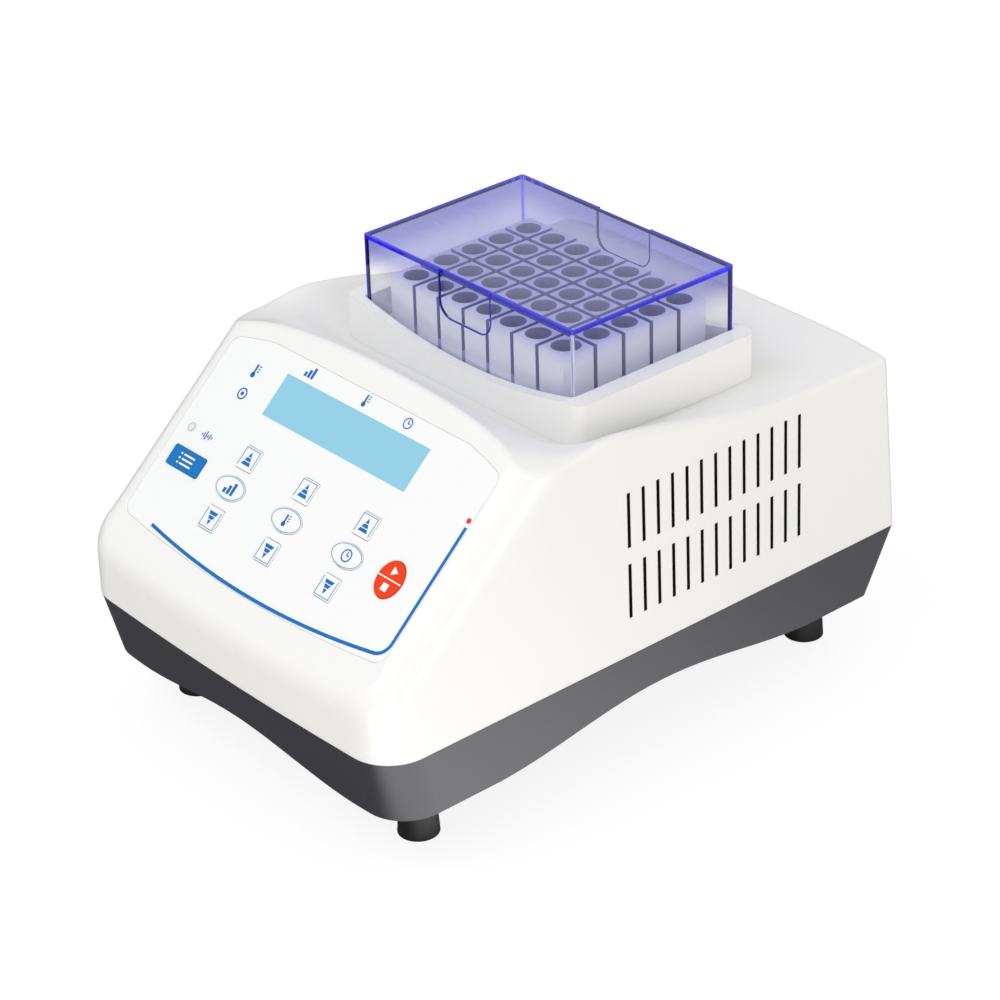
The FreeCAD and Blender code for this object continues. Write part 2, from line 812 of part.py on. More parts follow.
def make_sample_block():
    block = centred_box(block_half_x, block_half_y, block_bottom_z, block_top_z, y=mid_y)
    kerf_low = block_top_z - kerf_depth
    kerfs = []
    for i in range(1, well_columns):
        x = -block_half_x + i * well_pitch
        kerfs.append(centred_box(kerf_width / 2, 2 * block_half_y, kerf_low, lid_top_z, x, mid_y))
    for j in range(1, well_rows):
        y = mid_y - block_half_y + j * well_pitch
        kerfs.append(centred_box(2 * block_half_x, kerf_width / 2, kerf_low, lid_top_z, 0, y))
    block = block.cut(fused(kerfs))
    well_floor_z = block_top_z - well_depth
    wells = [rod(x, y, well_floor_z, lid_top_z, well_r) for x, y in well_places()]
    wells += [Part.makeCone(0, well_r, well_tip, V(x, y, well_floor_z - well_tip)) for x, y in well_places()]
    guide_top_z = block_bottom_z + guide_pin_height + 1
    wells += [rod(side * guide_x(), mid_y, 0, guide_top_z, guide_pin_r + guide_pin_gap) for side in (-1, 1)]
    return block.cut(Part.makeCompound(wells))


def well_places():
    """The centres of the wells, column by column."""
    columns = [(i + 0.5) * well_pitch - block_half_x for i in range(well_columns)]
    rows = [mid_y - block_half_y + (j + 0.5) * well_pitch for j in range(well_rows)]
    return [(x, y) for x in columns for y in rows]


def guide_x():
    """The guide pins stand between the outer columns of wells, clear of every well."""
    return block_half_x - well_pitch


def make_lid():
    outer = rounded_box(lid_half_x, lid_half_y, ledge_z, lid_top_z, lid_corner_r, y=mid_y)
    lid = outer.cut(centred_box(lid_half_x - lid_wall, lid_half_y - lid_wall,
                                ledge_z - 1, lid_top_z - lid_wall, y=mid_y))
    for side in (-1, 1):
        lid = lid.cut(grip_pocket(mid_y + side * lid_half_y))
    return lid


def grip_pocket(face_y):
    """The shallow U-shaped finger grip in one long wall of the lid, open at the top."""
    pocket = box(-grip_half_width, grip_half_width, face_y - grip_depth, face_y + grip_depth,
                 lid_top_z - grip_height, lid_top_z + 2 * grip_corner_r)
    corners = [e for e in pocket.Edges if abs(e.tangentAt(e.FirstParameter).y) > 0.999]
    return pocket.makeFillet(grip_corner_r, corners)


def make_overlay():
    plate = overlay_plate(overlay_gap, -overlay_t, 0.0)
    holes = [shape(key_gap, -wall, wall) for x, u, shape in keys.values()]
    holes.append(centred_box(window_half_width, window_half_u, -wall, wall, y=window_mid_u))
    holes += [rod(x, u, -wall, wall, r + screw_gap) for x, u, r in lamps.values()]
    return on_panel(plate.cut(Part.makeCompound(holes)))


def make_key(name):
    x, u, shape = keys[name]
    cap = shape(0.0, key_low_n, key_rise)
    limits = cap.BoundBox
    flange = centred_box(limits.XLength / 2 + key_flange, limits.YLength / 2 + key_flange,
                         key_low_n, key_low_n + key_flange_t, x, u)
    return on_panel(cap.fuse(flange).removeSplitter())


def make_window():
    return on_panel(centred_box(window_half_width, window_half_u, -window_t, 0.0, y=window_mid_u))


def make_lcd_module():
    half_x = window_half_width + lcd_margin
    half_u = window_half_u + lcd_margin
    return on_panel(centred_box(half_x, half_u, board_top_n, board_top_n + lcd_t, y=window_mid_u))


def make_key_board():
    mid_u = (key_board_low_u + key_board_high_u) / 2
    half_u = (key_board_high_u - key_board_low_u) / 2
    board = centred_box(key_board_half_width, half_u, board_top_n - board_t, board_top_n, y=mid_u)
    holes = [rod(x, u, board_top_n - 2 * board_t, board_top_n + 1, screw_r) for x, u in key_boss_places]
    return on_panel(board.cut(Part.makeCompound(holes)))


def make_tact_switches():
    half = switch_body / 2
    switches = []
    for x, u, shape in keys.values():
        body = centred_box(half, half, board_top_n, board_top_n + switch_height, x, u)
        plunger = centred_box(plunger_half, plunger_half, board_top_n + switch_height, switch_top_n, x, u)
        switches.append(body.fuse(plunger))
    return on_panel(Part.makeCompound(switches))


def make_lamp(name):
    x, u, r = lamps[name]
    return on_panel(rod(x, u, board_top_n, lamp_rise, r))


def sensor_rod(r, stub):
    """A rod that runs into the spreader's side, with a stub standing out of it."""
    start = V(block_half_x + spreader_margin + stub, mid_y, spreader_z + spreader_t / 2)
    return Part.makeCylinder(r, sensor_length + stub, start, V(-1, 0, 0))


def make_heat_spreader():
    plate = centred_box(block_half_x + spreader_margin, block_half_y + spreader_margin,
                        spreader_z, block_bottom_z, y=mid_y)
    pins = [rod(side * guide_x(), mid_y, block_bottom_z - 1, block_bottom_z + guide_pin_height, guide_pin_r)
            for side in (-1, 1)]
    return fused([plate.cut(sensor_rod(sensor_r + screw_gap, 0.0))] + pins)


def make_heater_mat():
    half_y = block_half_y - mat_inset - heater_post_across / 2
    return centred_box(block_half_x - mat_inset, half_y, mat_z, spreader_z, y=mid_y)


def make_insulation_frame():
    inner_x = block_half_x + foam_gap
    inner_y = block_half_y + foam_gap
    frame = centred_box(inner_x + foam_t, inner_y + foam_t, block_bottom_z, ledge_z - ledge_t, y=mid_y)
    return frame.cut(centred_box(inner_x, inner_y, block_bottom_z - 1, ledge_z, y=mid_y))


def make_temperature_sensor():
    return sensor_rod(sensor_r, sensor_stub)


def make_thermal_cutout():
    low = mat_z - cutout_t
    tabs = [centred_box(cutout_tab_half_t, cutout_tab_y, low - cutout_tab_length, low,
                        cutout_x + side * cutout_tab_x, mid_y) for side in (-1, 1)]
    return fused([rod(cutout_x, mid_y, low, mat_z, cutout_r)] + tabs)


def make_heater_posts():
    posts = [hex_bar(x, y, chassis_z, spreader_z, heater_post_across) for x, y in heater_places()]
    return Part.makeCompound(posts)


def make_chassis_plate():
    plate = centred_box(chassis_half_x, chassis_half_y, chassis_z - chassis_t, chassis_z, y=mid_y)
    holes = [rod(0, mid_y, 0, lid_top_z, fan_bore_r)]
    holes += [rod(x, y, 0, lid_top_z, screw_r + screw_gap) for x, y in chassis_places()]
    return plate.cut(Part.makeCompound(holes))


def make_chassis_screws():
    screws = []
    for x, y in chassis_places():
        head = rod(x, y, chassis_z, chassis_z + screw_head, screw_head_r)
        screws.append(head.fuse(rod(x, y, chassis_z - chassis_screw_length, chassis_z, screw_r)))
    return Part.makeCompound(screws)


def make_fan_frame():
    z0, z1 = chassis_z, chassis_z + fan_t
    frame = rounded_box(fan_size / 2, fan_size / 2, z0, z1, fan_corner_r, y=mid_y)
    frame = frame.cut(rod(0, mid_y, z0 - 1, z1 + 1, fan_bore_r))
    hole_x = fan_hole_pitch / 2
    holes = [rod(sx * hole_x, mid_y + sy * hole_x, z0 - 1, z1 + 1, screw_r + fan_hole_gap)
             for sx in (-1, 1) for sy in (-1, 1)]
    frame = frame.cut(Part.makeCompound(holes))
    spokes = [rod(0, mid_y, z0, z0 + fan_spoke_t, fan_hub_r)]
    for angle in (45, 135):
        spoke = centred_box(fan_bore_r + 1, fan_spoke_half, z0, z0 + fan_spoke_t)
        spoke.rotate(V(0, 0, 0), V(0, 0, 1), angle)
        spoke.translate(V(0, mid_y, 0))
        spokes.append(spoke)
    spokes.append(rod(0, mid_y, z0, rotor_top_z - 2 * fan_cap_t, fan_axle_r))
    return fused([frame] + spokes)


def make_fan_rotor():
    z0 = chassis_z + fan_spoke_t + fan_rotor_gap
    z1 = rotor_top_z
    hub_r = fan_hub_r - fan_rotor_gap
    tip_r = fan_bore_r - fan_tip_gap
    blades = []
    for i in range(fan_blades):
        blade = box(hub_r - fan_blade_t, 2 * tip_r, -fan_blade_half_chord, fan_blade_half_chord,
                    -fan_blade_t / 2, fan_blade_t / 2)
        blade.rotate(V(0, 0, 0), V(1, 0, 0), fan_blade_pitch)
        blade.translate(V(0, 0, (z0 + z1) / 2))
        blade.rotate(V(0, 0, 0), V(0, 0, 1), 360 * i / fan_blades)
        blades.append(blade)
    envelope = rod(0, 0, z0, z1, tip_r)
    rotor = fused([rod(0, 0, z0, z1, hub_r)] + blades).common(envelope)
    rotor = rotor.cut(rod(0, 0, z0 - 1, z1 - fan_cap_t, fan_axle_r + fan_axle_gap))
    rotor.translate(V(0, mid_y, 0))
    return rotor


def make_main_board():
    z0 = tray_floor_z + standoff_height
    return centred_box(main_half_x, main_half_y, z0, z0 + board_t, y=main_y)


def board_places():
    """The main board's four standoffs."""
    x = main_half_x - standoff_inset
    y = main_half_y - standoff_inset
    return [(sx * x, main_y + sy * y) for sx in (-1, 1) for sy in (-1, 1)]


def make_board_standoffs():
    z1 = tray_floor_z + standoff_height
    return Part.makeCompound([hex_bar(x, y, tray_floor_z, z1, standoff_across) for x, y in board_places()])


def make_board_parts():
    z0 = tray_floor_z + standoff_height + board_t
    parts = [
        rod(capacitor_x, main_y + capacitor_y, z0, z0 + capacitor_height, capacitor_r),
        rod(small_capacitor_x, main_y + small_capacitor_y, z0, z0 + small_capacitor_height, small_capacitor_r),
        centred_box(relay_half_x, relay_half_y, z0, z0 + relay_height, relay_x, main_y + relay_y),
        centred_box(heatsink_half_x, heatsink_half_y, z0, z0 + heatsink_height,
                    heatsink_x, main_y + heatsink_y),
        centred_box(chip_half, chip_half, z0, z0 + chip_t, chip_x, main_y + chip_y),
    ]
    for x, half_x in ((0.0, signal_terminal_half_x), (mains_terminal_x, mains_terminal_half_x)):
        parts.append(centred_box(half_x, terminal_half_y, z0, z0 + terminal_height, x, main_y + terminal_y))
    return Part.makeCompound(parts)


def make_transformer():
    z0 = tray_floor_z
    coil_low_z = z0 + (core_z - coil_z) / 2
    core = centred_box(core_x / 2, core_y / 2, z0, z0 + core_z, transformer_x, transformer_y)
    coil = centred_box(coil_x / 2, coil_y / 2, coil_low_z, coil_low_z + coil_z, transformer_x, transformer_y)
    return core.fuse(coil).removeSplitter()


def make_inlet():
    y1 = recess_y + inlet_flange_t
    flange = box(inlet_x - inlet_flange_half_x, inlet_x + inlet_flange_half_x, recess_y, y1,
                 inlet_z - inlet_flange_half_z, inlet_z + inlet_flange_half_z)
    body = box(inlet_x - inlet_body_half_x, inlet_x + inlet_body_half_x, y1 - inlet_body_depth, recess_y,
               inlet_z - inlet_body_half_z, inlet_z + inlet_body_half_z)
    inlet = flange.fuse(body).removeSplitter()
    inlet = inlet.cut(socket_outline(inlet_x, socket_z, socket_half_x, socket_half_z, socket_corner,
                                     y1 - socket_depth, y1 + 1))
    slot = box(inlet_x - drawer_half_x - drawer_gap, inlet_x + drawer_half_x + drawer_gap,
               y1 - drawer_depth - drawer_back_gap, y1 + 1,
               drawer_z - drawer_half_z - drawer_gap, drawer_z + drawer_half_z + drawer_gap)
    return inlet.cut(slot).cut(inlet_screw_holes())


def make_inlet_pins():
    y0 = recess_y + inlet_flange_t - socket_depth
    pins = []
    for step, rise in ((-1, -blade_rise), (1, -blade_rise), (0, blade_rise)):
        x = inlet_x + step * blade_pitch
        z = socket_z + rise
        pins.append(box(x - blade_t / 2, x + blade_t / 2, y0, y0 + blade_length,
                        z - blade_x / 2, z + blade_x / 2))
    return Part.makeCompound(pins)


def make_fuse_drawer():
    y1 = recess_y + inlet_flange_t
    tray = box(inlet_x - drawer_half_x, inlet_x + drawer_half_x, y1 - drawer_depth, y1,
               drawer_z - drawer_half_z, drawer_z + drawer_half_z)
    half_x = fuse_length / 2 + fuse_gap
    low_y = y1 - drawer_depth + drawer_back_t
    pocket = box(inlet_x - half_x, inlet_x + half_x, low_y, low_y + 2 * (fuse_r + fuse_gap),
                 drawer_z + fuse_rise - fuse_r, drawer_z + drawer_half_z + 1)
    lip = box(inlet_x - drawer_half_x, inlet_x + drawer_half_x, y1, y1 + drawer_front_t,
              drawer_z - drawer_half_z - drawer_pull, drawer_z + drawer_half_z)
    return fused([tray.cut(pocket), lip])


def make_fuse():
    y = recess_y + inlet_flange_t - drawer_depth + drawer_back_t + fuse_r + fuse_gap
    start = V(inlet_x - fuse_length / 2, y, drawer_z + fuse_rise)
    return Part.makeCylinder(fuse_r, fuse_length, start, V(1, 0, 0))


def make_inlet_screws():
    screws = []
    y1 = recess_y + inlet_flange_t
    for side in (-1, 1):
        x = inlet_x + side * (inlet_flange_half_x - inlet_screw_inset)
        shank = Part.makeCylinder(screw_r, inlet_screw_length, V(x, y1, inlet_z), V(0, -1, 0))
        head = Part.makeCylinder(inlet_screw_head_r, inlet_screw_head, V(x, y1, inlet_z), V(0, 1, 0))
        screws.append(shank.fuse(head))
    return Part.makeCompound(screws)


def make_switch_frame():
    y1 = recess_y + switch_flange_t
    flange = box(switch_x - switch_flange_half_x, switch_x + switch_flange_half_x, recess_y, y1,
                 inlet_z - switch_flange_half_z, inlet_z + switch_flange_half_z)
    body = box(switch_x - switch_half_x, switch_x + switch_half_x, recess_y - switch_depth, recess_y,
               inlet_z - switch_half_z, inlet_z + switch_half_z)
    frame = flange.fuse(body).removeSplitter()
    half_x = rocker_half_x + rocker_gap
    half_z = rocker_half_z + rocker_end_gap
    well = box(switch_x - half_x, switch_x + half_x, recess_y - switch_depth + switch_back_t, y1 + 1,
               inlet_z - half_z, inlet_z + half_z)
    return frame.cut(well).cut(rocker_pin(rocker_pin_gap))


def rocker_pin(grow):
    """The pin that the power rocker tilts on, or the hole for it when grown."""
    half_x = rocker_half_x + rocker_pin_length + grow
    start = V(switch_x - half_x, recess_y + switch_flange_t - rocker_axis_depth, inlet_z)
    return Part.makeCylinder(rocker_pin_r + grow, 2 * half_x, start, V(1, 0, 0))


def make_power_rocker():
    y1 = recess_y + switch_flange_t
    high_y = y1 + rocker_proud
    body = box(switch_x - rocker_half_x, switch_x + rocker_half_x, high_y - rocker_t, high_y,
               inlet_z - rocker_half_z, inlet_z + rocker_half_z)
    start = V(switch_x - 2 * rocker_half_x, high_y - rocker_dish + rocker_dish_r, inlet_z)
    body = body.cut(Part.makeCylinder(rocker_dish_r, 4 * rocker_half_x, start, V(1, 0, 0)))
    body = body.fuse(rocker_pin(0.0)).removeSplitter()
    body.rotate(V(switch_x, y1 - rocker_axis_depth, inlet_z), V(1, 0, 0), -rocker_tilt)
    return body


def make_foot(name):
    x, y = foot_places()[name]
    bore_r = screw_r + foot_bore_gap
    profile = [V(bore_r, 0, foot_recess), V(foot_recess_r, 0, foot_recess), V(foot_recess_r, 0, 0),
               V(foot_r, 0, 0), V(foot_top_r, 0, foot_height), V(bore_r, 0, foot_height)]
    foot = Part.Face(Part.makePolygon(profile + profile[:1])).revolve(V(0, 0, 0), V(0, 0, 1), 360)
    foot.translate(V(x, y, 0))
    return foot


def make_foot_screws():
    screws = []
    for x, y in foot_places().values():
        shank = rod(x, y, foot_recess, foot_recess + foot_screw_length, screw_r)
        screws.append(shank.fuse(rod(x, y, foot_recess - screw_head, foot_recess, screw_head_r)))
    return Part.makeCompound(screws)


def make_casing_screws():
    z0 = casing_screw_seat_z
    screws = []
    for x, y in post_places():
        shank = rod(x, y, z0, z0 + casing_screw_length, screw_r)
        screws.append(shank.fuse(rod(x, y, z0 - screw_head, z0, screw_head_r)))
    return Part.makeCompound(screws)


nodes = {
    "upper_casing": make_upper_casing(),
    "base_tray": make_base_tray(),
    "panel_overlay": make_overlay(),
    "display_window": make_window(),
    "run_lamp": make_lamp("run_lamp"),
    "power_lamp": make_lamp("power_lamp"),
    "lcd_module": make_lcd_module(),
    "key_board": make_key_board(),
    "tact_switches": make_tact_switches(),
    "sample_block": make_sample_block(),
    "lid": make_lid(),
    "heat_spreader": make_heat_spreader(),
    "heater_mat": make_heater_mat(),
    "insulation_frame": make_insulation_frame(),
    "temperature_sensor": make_temperature_sensor(),
    "thermal_cutout": make_thermal_cutout(),
    "heater_posts": make_heater_posts(),
    "chassis_plate": make_chassis_plate(),
    "chassis_screws": make_chassis_screws(),
    "fan_frame": make_fan_frame(),
    "fan_rotor": make_fan_rotor(),
    "main_board": make_main_board(),
    "board_standoffs": make_board_standoffs(),
    "board_parts": make_board_parts(),
    "transformer": make_transformer(),
    "power_inlet": make_inlet(),
    "inlet_pins": make_inlet_pins(),
    "inlet_screws": make_inlet_screws(),
    "fuse_drawer": make_fuse_drawer(),
    "fuse": make_fuse(),
    "switch_frame": make_switch_frame(),
    "power_rocker": make_power_rocker(),
    "foot_screws": make_foot_screws(),
    "casing_screws": make_casing_screws(),
}
for foot_name in foot_places():
    nodes[foot_name] = make_foot(foot_name)
for key_name in keys:
    nodes[key_name] = make_key(key_name)

os.makedirs("parts", exist_ok=True)
for name, shape in nodes.items():
    shape.exportStep(f"parts/{name}.step")
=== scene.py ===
# %% [markdown]
# A dry bath incubator is a bench heater: an aluminium block with wells for small tubes sits in a
# white moulded casing, under a tinted lid that lifts off. The shapes come from the CAD model, which
# this first cell loads as a fixed frame. What Blender adds is everything that makes the shapes look
# real: plastics, printed film, anodised metal, tinted acrylic and soft studio light.

# %% Load the frame
import json
import math

import bmesh
import bpy
from mathutils import Matrix, Vector


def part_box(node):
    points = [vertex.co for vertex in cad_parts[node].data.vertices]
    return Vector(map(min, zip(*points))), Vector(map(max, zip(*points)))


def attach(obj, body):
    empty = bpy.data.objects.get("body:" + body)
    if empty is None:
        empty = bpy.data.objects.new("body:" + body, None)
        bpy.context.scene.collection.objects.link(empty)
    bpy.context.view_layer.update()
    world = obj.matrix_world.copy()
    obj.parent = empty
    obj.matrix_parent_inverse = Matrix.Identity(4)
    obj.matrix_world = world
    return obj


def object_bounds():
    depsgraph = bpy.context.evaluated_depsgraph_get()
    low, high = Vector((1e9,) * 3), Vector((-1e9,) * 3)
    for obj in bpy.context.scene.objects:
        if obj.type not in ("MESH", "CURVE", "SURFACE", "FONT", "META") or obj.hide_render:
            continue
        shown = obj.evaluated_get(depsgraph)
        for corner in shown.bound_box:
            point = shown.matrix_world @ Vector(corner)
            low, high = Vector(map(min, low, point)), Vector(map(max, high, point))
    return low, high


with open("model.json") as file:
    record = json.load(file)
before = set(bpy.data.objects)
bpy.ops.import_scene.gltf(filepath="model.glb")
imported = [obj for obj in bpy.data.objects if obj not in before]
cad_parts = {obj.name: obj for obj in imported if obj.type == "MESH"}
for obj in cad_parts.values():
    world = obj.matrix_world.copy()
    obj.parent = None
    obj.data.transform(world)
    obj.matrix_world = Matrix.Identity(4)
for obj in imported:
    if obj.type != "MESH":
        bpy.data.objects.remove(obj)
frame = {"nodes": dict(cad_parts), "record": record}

MM = 0.001
cad_low, cad_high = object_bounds()
print("CAD box in metres:", tuple(cad_low), tuple(cad_high))

# %% [markdown]
# The camera stands where the photographer stood: in front, to the right and above, about 1.4 m away
# with a long lens, so that the casing's edges stay nearly parallel. Its direction is written as two
# angles and a small roll, because these are what a photographer would set on a tripod.

# %% Camera
camera_place = Vector((0.9270, -0.7785, 0.7552))
camera_azimuth = math.radians(49.78)
camera_elevation = math.radians(29.10)
camera_roll = math.radians(-1.74)
camera_lens = 117.12

camera_data = bpy.data.cameras.new("photographer")
camera_data.sensor_width = 36
camera_data.lens = camera_lens
camera = bpy.data.objects.new("photographer", camera_data)
turn = Matrix.Rotation(camera_azimuth, 4, "Z") @ Matrix.Rotation(math.pi / 2 - camera_elevation, 4, "X")
camera.matrix_world = Matrix.Translation(camera_place) @ turn @ Matrix.Rotation(camera_roll, 4, "Z")
bpy.context.scene.collection.objects.link(camera)
bpy.context.scene.camera = camera
bpy.context.scene.view_settings.view_transform = "Standard"
middle = (cad_low + cad_high) / 2
print("camera distance to the middle of the object:", round((camera_place - middle).length, 3))

# %% [markdown]
# Every material here is a small graph of nodes. These helpers each add one node and wire it, so that
# the cells below can say what they work out. A value is a number, a colour or another node's socket.


# %% Node helpers
def feed(tree, value, socket):
    """Give a socket a plain value, or link another socket to it."""
    if isinstance(value, bpy.types.NodeSocket):
        tree.links.new(value, socket)
    else:
        socket.default_value = value


def maths(tree, operation, *values, clamp=False):
    """One step of arithmetic."""
    node = tree.nodes.new("ShaderNodeMath")
    node.operation = operation
    node.use_clamp = clamp
    for value, socket in zip(values, node.inputs):
        feed(tree, value, socket)
    return node.outputs[0]


def ramp(tree, value, low, high, start=0.0, end=1.0):
    """A value that climbs smoothly from start to end while its source goes from low to high."""
    node = tree.nodes.new("ShaderNodeMapRange")
    node.interpolation_type = "SMOOTHSTEP"
    limits = {"Value": value, "From Min": low, "From Max": high, "To Min": start, "To Max": end}
    for name, limit in limits.items():
        feed(tree, limit, node.inputs[name])
    return node.outputs["Result"]


def colour_mix(tree, mask, first, second):
    """The first colour where a mask is black, and the second where it is white."""
    node = tree.nodes.new("ShaderNodeMix")
    node.data_type = "RGBA"
    for name, value in (("A", first), ("B", second)):
        feed(tree, (*value, 1) if isinstance(value, tuple) else value, node.inputs[name])
    feed(tree, mask, node.inputs["Factor"])
    return node.outputs["Result"]


def shader_mix(tree, mask, first, second):
    """The first shader where a mask is black, and the second where it is white."""
    node = tree.nodes.new("ShaderNodeMixShader")
    for value, socket in zip((mask, first, second), node.inputs):
        feed(tree, value, socket)
    return node.outputs[0]


def glow(tree, strength):
    """White light of its own."""
    node = tree.nodes.new("ShaderNodeEmission")
    feed(tree, strength, node.inputs["Strength"])
    return node.outputs[0]


def object_axes(tree):
    """The place on the piece, as three values."""
    coord = tree.nodes.new("ShaderNodeTexCoord")
    split = tree.nodes.new("ShaderNodeSeparateXYZ")
    tree.links.new(coord.outputs["Object"], split.inputs[0])
    return [split.outputs[axis] for axis in "XYZ"]


def noise(tree, scale, detail):
    """A noise over the piece, with so many cells to a metre."""
    node = tree.nodes.new("ShaderNodeTexNoise")
    node.inputs["Detail"].default_value = detail
    feed(tree, scale, node.inputs["Scale"])
    coord = tree.nodes.new("ShaderNodeTexCoord")
    tree.links.new(coord.outputs["Object"], node.inputs["Vector"])
    return node.outputs["Fac"]


# %% [markdown]
# A product picture on white has no visible room. The world is white wherever the camera or a clear
# lid looks through to it, and it lights the object with a softer value that grows towards the zenith,
# because a studio's large ceiling lamps are brighter than its walls.

# %% World
air_horizon = 0.74
air_zenith = 1.10

world = bpy.data.worlds.new("studio_air")
bpy.context.scene.world = world
world.use_nodes = True
air = world.node_tree
air.nodes.clear()
air_seen = air.nodes.new("ShaderNodeBackground")
air_seen.inputs["Color"].default_value = (1, 1, 1, 1)
air_seen.inputs["Strength"].default_value = 1.0
air_coord = air.nodes.new("ShaderNodeTexCoord")
air_split = air.nodes.new("ShaderNodeSeparateXYZ")
air.links.new(air_coord.outputs["Generated"], air_split.inputs[0])
air_fade = air.nodes.new("ShaderNodeMapRange")
air_fade.inputs["To Min"].default_value = air_horizon
air_fade.inputs["To Max"].default_value = air_zenith
air.links.new(air_split.outputs["Z"], air_fade.inputs["Value"])
air_light = air.nodes.new("ShaderNodeBackground")
air.links.new(air_fade.outputs["Result"], air_light.inputs["Strength"])
air_path = air.nodes.new("ShaderNodeLightPath").outputs
air_looked_at = maths(air, "MAXIMUM", air_path["Is Camera Ray"], air_path["Is Transmission Ray"])
air_mix = shader_mix(air, air_looked_at, air_light.outputs[0], air_seen.outputs[0])
air_out = air.nodes.new("ShaderNodeOutputWorld")
air.links.new(air_mix, air_out.inputs["Surface"])

# %% [markdown]
# The floor is one large white sheet. To the camera it glows almost as white as the background, with
# a small share left of its own diffuse shading, so that the object keeps a faint shadow under its feet.
# In reflections it is another floor: dark in front and on the left, with a bright white card along the
# right side. Photographers lay such cards and flags, and here they draw the light that runs along the
# dark tray and fades towards the back, while the tray's front stays deep.

# %% Floor
floor_size = 12.0
floor_paint = (0.9, 0.9, 0.9, 1)
floor_shadow_share = 0.20
floor_glow_strength = 1.08
floor_flag = 0.12
card_x = (0.075, 0.120, 0.0, 1.0)
card_y = (-0.15, 0.20, 2.8, 0.6)

floor_mesh = bpy.data.meshes.new("floor")
floor = bpy.data.objects.new("floor", floor_mesh)
bpy.context.scene.collection.objects.link(floor)
bm = bmesh.new()
bmesh.ops.create_grid(bm, x_segments=1, y_segments=1, size=floor_size / 2)
bm.to_mesh(floor_mesh)
bm.free()

floor_material = bpy.data.materials.new("floor_white")
floor_material.use_nodes = True
tree = floor_material.node_tree
tree.nodes.clear()
floor_path = tree.nodes.new("ShaderNodeLightPath").outputs
floor_diffuse = tree.nodes.new("ShaderNodeBsdfDiffuse")
floor_diffuse.inputs["Color"].default_value = floor_paint
looked_at = maths(tree, "MAXIMUM", floor_path["Is Camera Ray"], floor_path["Is Transmission Ray"])
glow_share = maths(tree, "MULTIPLY", looked_at, 1 - floor_shadow_share)
white_sheet = shader_mix(tree, glow_share, floor_diffuse.outputs[0], glow(tree, floor_glow_strength))
across, along, _ = object_axes(tree)
card = maths(tree, "MULTIPLY_ADD", ramp(tree, across, *card_x), ramp(tree, along, *card_y), floor_flag)
mirrored = maths(tree, "SUBTRACT", floor_path["Is Glossy Ray"], floor_path["Is Transmission Ray"], clamp=True)
floor_out = tree.nodes.new("ShaderNodeOutputMaterial")
tree.links.new(shader_mix(tree, mirrored, white_sheet, glow(tree, card)), floor_out.inputs["Surface"])
floor_mesh.materials.append(floor_material)

# %% [markdown]
# Three soft boxes shape the casing. The key light is large and stands in front on the left, so the
# sloping panel is the brightest face. A warm narrow box on the right draws the creamy streak down the
# rounded corner beside the panel, and a low fill opens up the right side and the dark tray.


# %% Soft boxes
def soft_box(name, place, target, width, height, power, colour):
    """An area lamp at a place, turned to face a target."""
    data = bpy.data.lights.new(name, "AREA")
    data.shape = "RECTANGLE"
    data.size = width
    data.size_y = height
    data.energy = power
    data.color = colour
    lamp = bpy.data.objects.new(name, data)
    facing = (Vector(target) - Vector(place)).to_track_quat("-Z", "Y").to_matrix().to_4x4()
    lamp.matrix_world = Matrix.Translation(Vector(place)) @ facing
    bpy.context.scene.collection.objects.link(lamp)


neutral = (1.0, 1.0, 1.0)
cream = (1.0, 0.90, 0.70)
cool = (0.93, 0.96, 1.0)
soft_box("key_box", (-0.5, -1.5, 1.9), middle, 1.6, 1.2, 12, cool)
soft_box("corner_box", (1.3, -1.3, 0.45), (0.08, -0.1, 0.1), 0.22, 1.2, 7, cream)
soft_box("side_fill", (1.9, 0.0, 0.5), middle, 1.0, 0.6, 4, neutral)

# %% [markdown]
# Several finishes share two effects, so each effect is a node group. The first is moulded skin: every
# moulded or anodised surface has a faint mottle in its colour, patches that are a little more or less
# glossy, and a grain too fine to see that breaks up the highlights. One group with a colour, a
# roughness and a grain size does this for all of them.


# %% Node group for moulded skin
cloud_scale = 22
patch_scale = 55


def group_socket(group, name, kind, direction, value=None):
    """Add one named input or output to a node group."""
    socket = group.interface.new_socket(name=name, in_out=direction, socket_type=kind)
    if value is not None:
        socket.default_value = value


